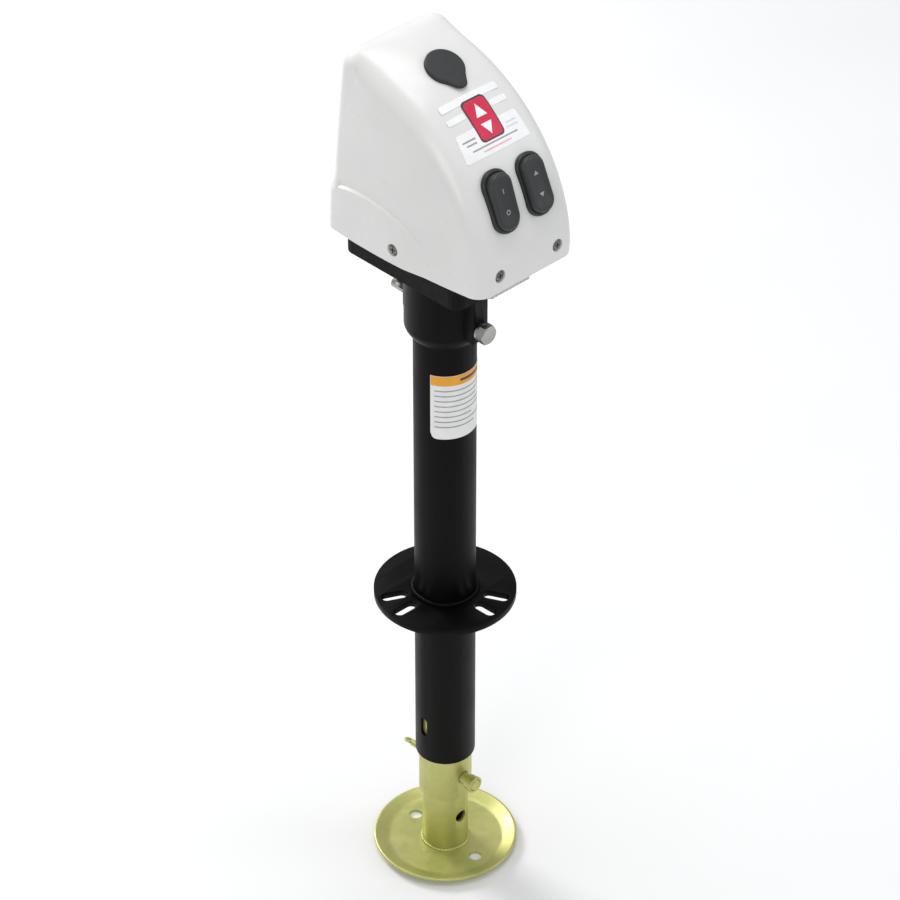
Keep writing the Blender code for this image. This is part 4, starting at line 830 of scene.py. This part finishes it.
def front_place(x, z):
    """A point and normal on the cover's front or top at x, with z measured on its middle line."""
    y = front_y(z)
    normal = outward(y, z)
    share = (z - COVER_BOTTOM) / (ELLIPSE_Z + ELLIPSE_RISE - COVER_BOTTOM)
    progress = smooth_step(0.0, 0.55, share * 0.55)
    crown = crown_at(progress, y)
    flat = HALF_WIDTH - FRONT_FILLET
    drop = crown * (x / flat) ** 2
    lean = Vector((2.0 * crown * x / flat**2, normal.x, normal.y)).normalized()
    return Vector((x, y - normal.x * drop, z - normal.y * drop)), lean


def print_film(name, low, high, half, material, centre=0.0, corner=0.0, lift=0.0002, rows=12):
    """A printed film on the front from z low to high. half(z) is its half width."""

    def place(i, j):
        z = low + (high - low) * j
        width = half(z)
        near = min(z - low, high - z)
        if near < corner:
            width -= corner - math.sqrt(max(0.0, corner**2 - (corner - near) ** 2))
        return front_place(centre + width * (2.0 * i - 1.0), z)

    film = solid(name, sheet(name, place, 16, rows, lift))
    return settle(film, material, HEAD)


def build_decals():
    """A plain printed panel between the crank cap and the switches, with a raise-lower mark."""

    def wide(z):
        return 0.0375 - 0.13 * (z - 0.818)

    print_film("print_panel", 0.8205, 0.8395, wide, WHITE_INK, corner=0.002, rows=24)
    for side in (-1, 1):
        name = f"print_band_{side + 1}"
        middle = side * 0.0245
        print_film(name, 0.8460, 0.8495, lambda _: 0.0095, WHITE_INK, middle, corner=0.0012)
    print_film("print_strip", 0.8535, 0.8575, lambda z: wide(z) + 0.0005, WHITE_INK, corner=0.0015)
    badge = {"corner": 0.0035, "rows": 28}
    print_film("badge_edge", 0.8285, 0.8545, lambda _: 0.0135, DARK_INK, lift=0.00035, **badge)
    print_film("badge_face", 0.8295, 0.8535, lambda _: 0.0123, RED_INK, lift=0.00045, **badge)
    for number, (base, tip) in enumerate(((0.8435, 0.8510), (0.8395, 0.8320))):
        low, high = sorted((base, tip))

        def arrow(z, base=base, tip=tip):
            return max(0.0003, 0.0060 * (tip - z) / (tip - base))

        print_film(f"badge_arrow_{number}", low, high, arrow, WHITE_INK, lift=0.00055)
    lines = (
        (0.8340, -0.0245, 0.0070, GREY_INK),
        (0.8312, -0.0235, 0.0055, GREY_INK),
        (0.8268, 0.0000, 0.0260, GREY_INK),
        (0.8238, 0.0000, 0.0160, PINK_INK),
        (0.8340, 0.0245, 0.0060, PALE_INK),
        (0.8312, 0.0235, 0.0070, PALE_INK),
    )
    for number, (z, centre, half, ink) in enumerate(lines):
        name = f"print_line_{number}"
        print_film(name, z - 0.0005, z + 0.0005, lambda _, h=half: h, ink, centre, lift=0.0003, rows=2)


# ---------------------------------------------------------------- cap, switches, screws


def build_cap():
    """Rubber plug with a pull tab towards the front."""

    def outline(inset):
        radius, reach, half = CAP_RADIUS - inset, CAP_TAB_REACH - inset, CAP_TAB_HALF - inset / 2
        turn = math.radians(CAP_TAB_TURN)
        start, end = turn - math.pi / 2, 3 * math.pi / 2 - turn
        steps = 60
        points = []
        for step in range(steps + 1):
            angle = start + (end - start) * step / steps
            points.append((radius * math.cos(angle), radius * math.sin(angle)))
        corners = [points[-1], (-half, -reach), (half, -reach), points[0]]
        tab = rounded(corners, 0.0030, 6, closed=False)
        return points + tab[1:-1]

    def dome(x, y, share):
        return 0.0007 * share

    levels = [(0.0, CAP_SEAT), (0.0, CAP_TOP - 0.0011), (0.0003, CAP_TOP - 0.0004)]
    levels += [(0.0009, CAP_TOP), (0.0022, CAP_TOP + 0.0002)]
    lid = stacked("cap_lid", outline, levels, dome)
    # the tab rests on the cover, so what is under it is lifted out of the shell
    for vertex in lid.vertices:
        if vertex.co.y < -CAP_RADIUS - THIN and vertex.co.z < 0.0:
            vertex.co.z = 0.0002
    cap = moved("crank_cap_cover", lid)
    plug_profile = [
        (0.0, CAP_SEAT + 0.0006),
        (CAP_PLUG_RADIUS, CAP_SEAT + 0.0006),
        (CAP_PLUG_RADIUS, CAP_PLUG_END + 0.0035),
        (CAP_PLUG_RADIUS + 0.0004, CAP_PLUG_END + 0.0025),
        (CAP_PLUG_RADIUS - 0.0012, CAP_PLUG_END),
        (0.0, CAP_PLUG_END),
    ]
    join(cap, moved("cap_plug", lathe("cap_plug", plug_profile, 64)))
    cap.data.transform(cap_frame())
    smooth(cap.data, 35.0)
    settle(cap, CAP_RUBBER, CAP, ["crank_cap"])


def build_switch(name, side, tilt, marks):
    frame_here = switch_frame(side)
    housing_node, rocker_node = f"{name}_switch_housing", f"{name}_switch_rocker"
    body_name = f"{name}_switch"

    def bezel(inset):
        width, length, corner = BEZEL
        return oblong(width - 2 * inset, length - 2 * inset, corner - inset, 14)

    def flat(x, y, share):
        return 0.0

    levels = [(0.0, -0.0019), (0.0, BEZEL_PROUD - 0.0016), (0.0003, BEZEL_PROUD - 0.0008)]
    levels += [(0.0009, BEZEL_PROUD - 0.0002), (0.0018, BEZEL_PROUD)]
    housing = moved(f"{name}_bezel", stacked("bezel", bezel, levels, flat))
    body = slab("body", [oblong(*(v - THIN for v in SWITCH_BODY))], -SWITCH_BODY_DEPTH, -0.001)
    join(housing, moved("body", body))
    cut(housing, moved("well", slab("well", [oblong(*WELL)], WELL_FLOOR, 0.01)))
    housing.data.transform(frame_here)
    smooth(housing.data, 35.0)
    settle(housing, SWITCH_PLASTIC, HEAD, [housing_node])

    def face(inset):
        width, length, corner = ROCKER
        return oblong(width - 2 * inset, length - 2 * inset, corner - inset, 14)

    half = ROCKER[1] / 2

    def dished(x, y, share):
        return -0.0011 * (1.0 - (y / half) ** 2) * min(1.0, share * 3.0)

    top = ROCKER_TOP - ROCKER_PIVOT
    levels = [(0.0012, ROCKER_BOTTOM - ROCKER_PIVOT), (0.0, ROCKER_BOTTOM - ROCKER_PIVOT + 0.002)]
    levels += [(0.0, top - 0.0026), (0.0004, top - 0.0012), (0.0013, top - 0.0003), (0.0026, top)]
    mesh = stacked("rocker", face, levels, dished, (0.9, 0.75, 0.55, 0.3))
    rocker = moved(f"{name}_rocker", mesh)
    turn = frame_here @ Matrix.Translation((0, 0, ROCKER_PIVOT))
    turn = turn @ Matrix.Rotation(math.radians(tilt), 4, "X")
    pin = rod("trunnion", 0.0018, WELL[0] + 0.0024, 20)
    join(rocker, moved("trunnion", pin, Matrix.Rotation(math.pi / 2, 4, "Y")))
    rocker.data.transform(turn)
    smooth(rocker.data, 35.0)
    settle(rocker, ROCKER_PLASTIC, body_name, [rocker_node])
    for number, (y, outline) in enumerate(marks):
        height = top + dished(0.0, y, 0.4)
        mark = slab("mark", outline, height - 0.0004, height + 0.00025)
        mark.transform(turn @ Matrix.Translation((0.0, y, 0.0)))
        settle(moved(f"{name}_mark_{number}", mark), MARK_INK, body_name)


def build_switches():
    ring = [circle(0.0022, 28), circle(0.0014, 28)]
    bar = [oblong(0.0010, 0.0044, 0.0004, 3)]
    up = [[(-0.0026, -0.0016), (0.0026, -0.0016), (0.0, 0.0022)]]
    down = [[(-0.0026, 0.0016), (0.0, -0.0022), (0.0026, 0.0016)]]
    build_switch("light", -1, LIGHT_ROCKER_TILT, ((0.0095, bar), (-0.0095, ring)))
    build_switch("drive", 1, 0.0, ((0.0095, up), (-0.0095, down)))


def build_cover_screws():
    """Pan head screws with a cross recess."""
    for name, centre, axis in cover_screws():
        profile = [(0.0, -0.0002), (0.0030, -0.0004), (0.0044, -0.0012), (0.0050, -0.0022)]
        profile += [(0.0050, -0.0032), (0.0021, -0.0032), (0.0021, -0.0150), (0.0, -0.0150)]
        head = moved(name + "_head", lathe("screw", profile, 48))
        arms = [slab("arm", [oblong(0.0056, 0.0012, 0.0003, 2)], -0.0016, 0.002)]
        arms.append(slab("arm", [oblong(0.0012, 0.0056, 0.0003, 2)], -0.0016, 0.002))
        for arm in arms:
            cut(head, moved("arm", arm))
        head.data.transform(aimed(centre, axis))
        smooth(head.data, 35.0)
        settle(head, SCREW_STEEL, HEAD, [name])


# ---------------------------------------------------------------- neck and its bolts


def build_neck():
    low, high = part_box("neck_collar")
    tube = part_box("outer_tube")[1].x + THIN
    profile = [
        (high.x, high.z),
        (high.x, high.z - 0.006),
        (0.0364, high.z - 0.006),
        (0.0364, 0.6150),
        (0.0352, 0.6112),
        (tube + 0.0035, low.z + 0.0030),
        (tube + 0.0012, low.z),
        (tube, low.z),
        (tube, 0.6718),
        (0.0205, 0.6718),
        (0.0205, 0.6840),
        (0.0093, 0.6840),
        (0.0093, high.z),
    ]
    neck = moved("neck_casting", lathe("neck", rounded(profile, 0.0012, 4), 128))
    for side in (-1, 1):
        outline = oblong(0.019, 0.024, 0.0022, 4, (0.0, side * 0.033))
        join(neck, moved("boss", slab("boss", [outline], 0.6155, high.z - 0.003)))
    pocket = rod("nut_pocket", NUT_POCKET_RADIUS, 0.02, 64)
    cut(neck, moved("nut_pocket", pocket, aimed((0, 0.0482, BOLT_HEIGHT), (0, 1, 0))))
    bore = rod("bolt_hole", BOLT_HOLE_RADIUS, 0.13)
    cut(neck, moved("bolt_hole", bore, aimed((0, 0, BOLT_HEIGHT), (0, 1, 0))))
    soften_edges(neck, 0.0007, 2, 38.0)
    settle(neck, BLACK_CASTING, HEAD, ["neck_collar"])


def hex_head(name, flats, thick, chamfer=0.0008):
    """A hexagon with its corners turned off, on a washer face, from z = 0 upwards."""
    head = moved(name, slab(name, [hexagon(flats)], 0.0, thick))
    corner = flats / 2 / math.cos(math.pi / 6)
    profile = [
        (0.0, thick),
        (flats / 2 - 0.0004, thick),
        (corner + 0.0002, thick - chamfer * 1.9),
        (corner + 0.0002, chamfer),
        (flats / 2 - 0.0002, 0.0),
        (0.0, 0.0),
    ]
    return combine(head, [moved("turned", lathe("turned", profile, 64))], "INTERSECT")


def threads(radius, bottom, top, pitch=0.00175, depth=0.0007):
    """Profile down a threaded end, from top to bottom."""
    points = [(0.0, top), (radius - depth, top)]
    count = int((top - bottom) / pitch)
    for turn in range(count):
        z = top - turn * pitch
        points.append((radius, z - pitch * 0.5))
        points.append((radius - depth, z - pitch))
    return points


def build_neck_bolts():
    low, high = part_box("neck_bolt")
    height = (low.z + high.z) / 2
    head = hex_head("neck_bolt_hex", BOLT_FLATS, 0.0077)
    shank = [(0.0, 0.002), (0.005, 0.002), (0.005, -0.0265), (0.0, -0.0265)]
    washer = [(0.0, 0.0004), (0.0088, 0.0004), (0.0088, -0.0027), (0.0, -0.0027)]
    join(head, moved("shank", lathe("shank", shank, 48)))
    join(head, moved("washer", lathe("washer", washer, 64)))
    head.data.transform(aimed((0, low.y + 0.0077, height), (0, -1, 0)))
    soften_edges(head, 0.0003, 2)
    settle(head, PLATED_STEEL, HEAD, ["neck_bolt"])

    low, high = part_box("neck_nut")
    nut = hex_head("neck_nut_hex", NUT_FLATS, high.y - low.y)
    cut(nut, moved("bore", rod("bore", 0.0050, 0.05)))
    nut.data.transform(aimed((0, low.y, height), (0, 1, 0)))
    soften_edges(nut, 0.0003, 2)
    settle(nut, PLATED_STEEL, HEAD, ["neck_nut"])

    low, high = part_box("neck_stud")
    profile = threads(0.0049, low.y + 0.012, high.y) + [(0.0048, low.y), (0.0, low.y)]
    stud = moved("neck_stud_thread", lathe("stud", profile, 48))
    stud.data.transform(aimed((0, 0, height), (0, 1, 0)))
    settle(stud, PLATED_STEEL, HEAD, ["neck_stud"])


# ---------------------------------------------------------------- tube, flange and label


def build_tube():
    low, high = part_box("outer_tube")
    radius = high.x
    tube = moved("outer_tube_skin", lathe("tube", pipe(radius, 0.0258, low.z, high.z, 0.0007), 144))
    slot = slab("slot", [oblong(0.0210, 0.008, 0.00395, 10)], -0.05, 0.05)
    turn = Matrix.Translation((0, 0, 0.160)) @ Matrix.Rotation(math.pi / 2, 4, "Y")
    hole = rod("bolt_hole", BOLT_HOLE_RADIUS, 0.13)
    cut(tube, moved("slot", slot, turn))
    cut(tube, moved("bolt_hole", hole, aimed((0, 0, BOLT_HEIGHT), (0, 1, 0))))
    smooth(tube.data, 30.0)
    settle(tube, BLACK_TUBE, HEAD, ["outer_tube"])


def tube_film(name, half, low, high, material, lift, corner=0.0, middle=0.0, columns=40):
    """A film wrapped on the tube, half metres either side of the front."""
    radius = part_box("outer_tube")[1].x

    def place(i, j):
        along = half * (2.0 * i - 1.0)
        near = half - abs(along)
        inset = 0.0
        if near < corner:
            inset = corner - math.sqrt(max(0.0, corner**2 - (corner - near) ** 2))
        z = low + inset + (high - low - inset) * j
        angle = -math.pi / 2 + (middle + along) / radius
        normal = Vector((math.cos(angle), math.sin(angle), 0.0))
        return normal * radius + Vector((0.0, 0.0, z)), normal

    film = solid(name, sheet(name, place, columns, 4, lift))
    return settle(film, material, HEAD)


def build_tube_label():
    """A plain instruction label: a coloured heading and rows of grey bars, no lettering."""
    half = 0.0385
    centre = 0.003
    tube_film("label_sheet", half, 0.5060, 0.5745, LABEL_WHITE, 0.00018, 0.006, centre)
    tube_film("label_heading", half - 0.0004, 0.5640, 0.5741, LABEL_ORANGE, 0.00030, middle=centre)
    tube_film("label_heading_bar", 0.013, 0.5677, 0.5704, DARK_INK, 0.00040, middle=centre + 0.002)
    z = 0.5590
    for number, (start, width) in enumerate(
        (
            (0.004, 0.052),
            (0.004, 0.060),
            (0.004, 0.044),
            (0.004, 0.058),
            (0.004, 0.062),
            (0.004, 0.036),
            (0.004, 0.054),
            (0.004, 0.040),
        )
    ):
        middle = centre - half + start + width / 2
        tube_film(
            f"label_bar_{number}", width / 2, z - 0.0012, z, GREY_INK, 0.00030, middle=middle, columns=24
        )
        z -= 0.0056


def bead(name, radius, height, size, ripples):
    """A weld bead round the jack's axis, rippled by the torch's steps."""
    segments, around = 360, 14
    vertices, faces = [], []
    for step in range(segments):
        angle = 2.0 * math.pi * step / segments
        ripple = 0.5 + 0.5 * math.cos(ripples * angle + 0.8 * math.sin(3.0 * angle))
        wander = 0.00025 * math.sin(5.0 * angle + 1.0)
        swell = size * (0.86 + 0.14 * ripple)
        for turn in range(around):
            tip = 2.0 * math.pi * turn / around
            r = radius + wander + swell * math.cos(tip)
            z = height + swell * math.sin(tip)
            vertices.append((r * math.cos(angle), r * math.sin(angle), z))
    for step in range(segments):
        for turn in range(around):
            a, b = step * around, (step + 1) % segments * around
            after = (turn + 1) % around
            faces.append([a + turn, b + turn, b + after, a + after])
    return solid(name, smooth(mesh_of(name, vertices, faces), 60.0))


def build_flange():
    low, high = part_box("mounting_flange")
    radius = high.x
    top, bottom = 0.3164, low.z
    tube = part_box("outer_tube")[1].x
    outlines = [circle(radius, 160), circle(tube + THIN, 96)]
    for middle in (-74.5, 45.5, 165.5):
        for side in (-1, 1):
            angle = math.radians(middle + side * 12.5)
            c, s = math.cos(angle), math.sin(angle)
            slot = oblong(0.025, 0.011, 0.0054, 10, (0.0495, 0.0))
            outlines.append([(c * x - s * y, s * x + c * y) for x, y in slot])
    flange = moved("flange_plate", slab("flange", outlines, bottom, top))
    soften_edges(flange, 0.0007, 2, 40.0)
    settle(flange, BLACK_FLANGE, HEAD, ["mounting_flange"])
    settle(bead("flange_weld_top", tube + 0.0012, top + 0.0008, 0.0026, 64), BLACK_FLANGE, HEAD)
    settle(bead("flange_weld_under", tube + 0.0008, bottom - 0.0004, 0.0019, 70), BLACK_FLANGE, HEAD)


# ---------------------------------------------------------------- ram, leg, foot and pin


def drilled(name, profile, heights, material, node, segments=128):
    tube = moved(name, lathe(name, profile, segments))
    holes = []
    for height in heights:
        hole = rod("hole", PIN_HOLE_RADIUS, 0.07, 48)
        holes.append(moved("hole", hole, aimed((0, 0, height), (0, 1, 0))))
    cut(tube, *holes)
    soften_edges(tube, 0.0003, 2, 40.0)
    return settle(tube, material, RAM, [node])


def build_ram():
    low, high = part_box("ram_tube")
    sleeve = pipe(high.x, 0.0226, low.z, high.z, 0.0007)
    drilled("ram_sleeve", sleeve, [PIN_HEIGHT], ZINC_TUBE, "ram_tube")
    low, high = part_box("drop_leg")
    holes = [0.042, PIN_HEIGHT, 0.147]
    drilled("leg_tube", pipe(high.x, 0.0192, low.z, high.z, 0.0005), holes, ZINC_TUBE, "drop_leg")


def build_foot():
    rise = 0.0055
    thick = 0.0032
    profile = [
        (0.0, thick),
        (0.0550, thick),
        (0.0580, thick + 0.0009),
        (0.0680, thick + rise),
        (0.0700, thick + rise - 0.0004),
        (0.0700, rise + 0.0006),
        (0.0690, rise),
        (0.0590, 0.0009),
        (0.0560, 0.0),
        (0.0, 0.0),
    ]
    foot = moved("foot_pan", lathe("foot", rounded(profile, 0.0016, 5, closed=False), 160))
    holes = []
    for side in (-1, 1):
        hole = rod("hole", PIN_HOLE_RADIUS, 0.03, 48)
        hole.transform(Matrix.Translation((0, side * 0.042, 0)))
        holes.append(moved("hole", hole))
    cut(foot, *holes)
    soften_edges(foot, 0.0003, 2, 50.0)
    settle(foot, ZINC_PLATE, RAM, ["foot_plate"])
    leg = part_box("drop_leg")[1].x
    settle(bead("foot_weld", leg + 0.0003, thick + 0.0003, 0.0018, 52), ZINC_PLATE, RAM)


def build_pin():
    low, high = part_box("pull_pin")
    height = PIN_HEIGHT
    profile = [
        (0.0, 0.0462),
        (0.0030, 0.0462),
        (0.0030, 0.0335),
        (0.0040, 0.0330),
        (0.0052, 0.0330),
        (0.0060, 0.0318),
        (0.0060, low.y + 0.0014),
        (0.0047, low.y),
        (0.0, low.y),
    ]
    pin = moved("pull_pin_shaft", lathe("pin", profile, 48))
    pin.data.transform(aimed((0, 0, height), (0, 1, 0)))
    eye_profile = [(0.0043 + x, z) for x, z in circle(0.0013, 14)]
    eye = moved("eye", lathe("eye", eye_profile, 48))
    tilt = math.radians(30.0)
    eye.data.transform(aimed((0, 0.050, height), (math.sin(tilt), 0, math.cos(tilt))))
    join(pin, eye)
    smooth(pin.data, 35.0)
    settle(pin, ZINC_SMALL, PIN, ["pull_pin"])

    low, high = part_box("pin_keeper")
    profile = [
        (0.0078, high.y),
        (0.0078, low.y + 0.0027),
        (high.x, low.y + 0.0025),
        (high.x, low.y),
        (0.0063, low.y),
        (0.0063, high.y),
    ]
    keeper = moved("keeper_ring", lathe("keeper", rounded(profile, 0.0006, 3), 64))
    keeper.data.transform(aimed((0, 0, height), (0, 1, 0)))
    settle(keeper, ZINC_SMALL, KEEPER, ["pin_keeper"])


# ---------------------------------------------------------------- work light and inner parts


def build_work_light():
    """A fluted lens over the lit board."""
    low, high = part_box("work_light_lens")
    middle = (low.z + high.z) / 2

    def place(i, j):
        across_share = 2.0 * i - 1.0
        x = high.x * across_share
        drop = 0.0016 * smooth_step(0.90, 1.0, abs(across_share))
        up_share = 2.0 * j - 1.0
        drop += 0.0014 * smooth_step(0.80, 1.0, abs(up_share))
        flute = 0.00035 * math.cos(x / 0.0042 * 2.0 * math.pi)
        z = middle + (high.z - low.z) / 2 * up_share
        y = low.y + 0.0004 + drop - flute
        return Vector((x, y, z)), Vector((0.0, -1.0, 0.0))

    lens = solid("work_light_cover", sheet("lens", place, 96, 12, 0.0, 0.0016))
    smooth(lens.data, 50.0)
    settle(lens, LENS, HEAD, ["work_light_lens"])


def keep(material, *names):
    """Leave CAD solids as they are, with a material of their own."""
    for name in names:
        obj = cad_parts[name]
        obj.data.materials.clear()
        obj.data.materials.append(material)


def finish_inner_parts():
    keep(BRIGHT_STEEL, "lift_screw", "thrust_race_upper", "thrust_race_lower", "thrust_ball_ring")
    keep(BRIGHT_STEEL, "output_gear", "idler_gear", "idler_shaft", "motor_can", "crank_socket")
    keep(BRIGHT_STEEL, "socket_pin")
    keep(BRONZE, "lift_nut", "top_bush", "motor_pinion")
    keep(CAST_METAL, "gearbox_base", "gearbox_lid", "motor_end_cap")
    keep(ROTOR, "motor_armature")
    for number in range(1, 5):
        keep(PLATED_STEEL, f"neck_screw_{number}", f"lid_screw_{number}")
    keep(TRAY_PLASTIC, "head_tray", "work_light_housing")
    keep(CAP_RUBBER, "lead_grommet")
    keep(BOARD, "work_light_board")


# ---------------------------------------------------------------- floor, light and camera


def soft_light(name, place, target, size, power, colour=(1.0, 1.0, 1.0)):
    data = bpy.data.lights.new(name, "AREA")
    data.shape = "DISK"
    data.size = size
    data.energy = power
    data.color = colour
    lamp = link(bpy.data.objects.new(name, data))
    lamp.location = place
    lamp.rotation_euler = (Vector(target) - Vector(place)).to_track_quat("-Z", "Y").to_euler()


def build_stage():
    f = Finish("studio_floor")
    colour = f.ramp(f.noise(3.0, 2.0), (0.3, (0.86, 0.86, 0.86, 1.0)), (0.7, (0.88, 0.88, 0.88, 1.0)))
    floor = moved("floor", slab("floor", [circle(14.0, 96)], -0.01, -0.0002))
    floor.data.materials.append(f.set(colour, 0.9, Specular_IOR_Level=0.1))
    # the foot stands on the floor, so the floor follows the ram
    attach(floor, RAM)

    world = bpy.data.worlds.new("studio")
    bpy.context.scene.world = world
    world.use_nodes = True
    background = world.node_tree.nodes["Background"]
    background.inputs["Color"].default_value = (0.97, 0.985, 1.0, 1.0)
    background.inputs["Strength"].default_value = 0.50

    soft_light("fill", (-2.8, -1.45, 2.2), (0.0, 0.0, 0.55), 2.0, 26.0, (1.0, 0.99, 0.98))
    soft_light("front", (2.4, -2.4, 2.2), (0.0, 0.0, 0.7), 2.0, 18.0, (0.94, 0.97, 1.0))
    soft_light("top", (0.2, 0.3, 3.2), (0.0, 0.0, 0.6), 1.8, 31.0)
    soft_light("key", (0.1, 2.9, 2.0), (0.0, 0.0, 0.4), 1.2, 60.0)


def build_camera():
    data = bpy.data.cameras.new("camera")
    data.sensor_width = 36.0
    data.lens = 140.97
    data.clip_end = 60.0
    camera = link(bpy.data.objects.new("camera", data))
    camera.location = (-1.7874, -1.8381, 2.3667)
    camera.rotation_euler = (math.radians(53.554), 0.0, math.radians(-44.3))
    bpy.context.scene.camera = camera
    bpy.context.scene.view_settings.view_transform = "Standard"


# ---------------------------------------------------------------- the scene

COVER = cover_plastic()
BLACK_TUBE = powder_black("black_tube")
BLACK_FLANGE = powder_black("black_flange", 0.5)
BLACK_CASTING = powder_black("black_casting", 0.8)
ZINC_TUBE = zinc_yellow("zinc_tube", (1.0, 1.0, 0.08))
ZINC_PLATE = zinc_yellow("zinc_plate", (1.0, 1.0, 1.0))
ZINC_SMALL = zinc_yellow("zinc_small", (1.0, 0.2, 1.0))
PLATED_STEEL = metal("plated_steel", srgb(150, 152, 146), srgb(186, 187, 180), 0.36)
BRIGHT_STEEL = metal("bright_steel", (0.48, 0.48, 0.48, 1.0), (0.60, 0.60, 0.59, 1.0), 0.30)
SCREW_STEEL = metal("screw_steel", (0.16, 0.16, 0.15, 1.0), (0.26, 0.26, 0.25, 1.0), 0.38)
BRONZE = metal("bearing_bronze", (0.42, 0.27, 0.10, 1.0), (0.55, 0.37, 0.16, 1.0), 0.36)
CAST_METAL = metal("cast_aluminium", (0.40, 0.40, 0.41, 1.0), (0.52, 0.52, 0.53, 1.0), 0.50, scale=900.0)
ROTOR = windings()
SWITCH_PLASTIC = plastic("switch_plastic", srgb(30, 31, 31), srgb(37, 38, 38), 0.42)
ROCKER_PLASTIC = plastic("rocker_plastic", srgb(44, 45, 46), srgb(52, 53, 54), 0.46)
TRAY_PLASTIC = plastic("tray_plastic", srgb(6, 6, 5), srgb(11, 11, 10), 0.5, specular=0.12)
CAP_RUBBER = rubber()
WHITE_INK = print_ink("white_ink", srgb(243, 244, 246), srgb(250, 250, 251), 0.30)
DARK_INK = print_ink("dark_ink", srgb(58, 56, 58), srgb(70, 68, 70))
RED_INK = print_ink("red_ink", srgb(206, 34, 72), srgb(220, 44, 82))
PINK_INK = print_ink("pink_ink", srgb(238, 176, 184), srgb(244, 190, 196))
GREY_INK = print_ink("grey_ink", srgb(150, 151, 156), srgb(168, 169, 173))
PALE_INK = print_ink("pale_ink", srgb(214, 219, 224), srgb(222, 226, 230))
MARK_INK = print_ink("mark_ink", srgb(140, 141, 140), srgb(160, 161, 160))
LABEL_WHITE = print_ink("label_white", srgb(232, 232, 230), srgb(240, 240, 238), 0.40)
LABEL_ORANGE = print_ink("label_orange", srgb(230, 156, 34), srgb(240, 168, 48), 0.40)
LENS = lens_plastic()
BOARD = circuit_board()

build_cover()
build_decals()
build_cap()
build_switches()
build_cover_screws()
build_neck()
build_neck_bolts()
build_tube()
build_tube_label()
build_flange()
build_ram()
build_foot()
build_pin()
build_work_light()
finish_inner_parts()
build_stage()
build_camera()
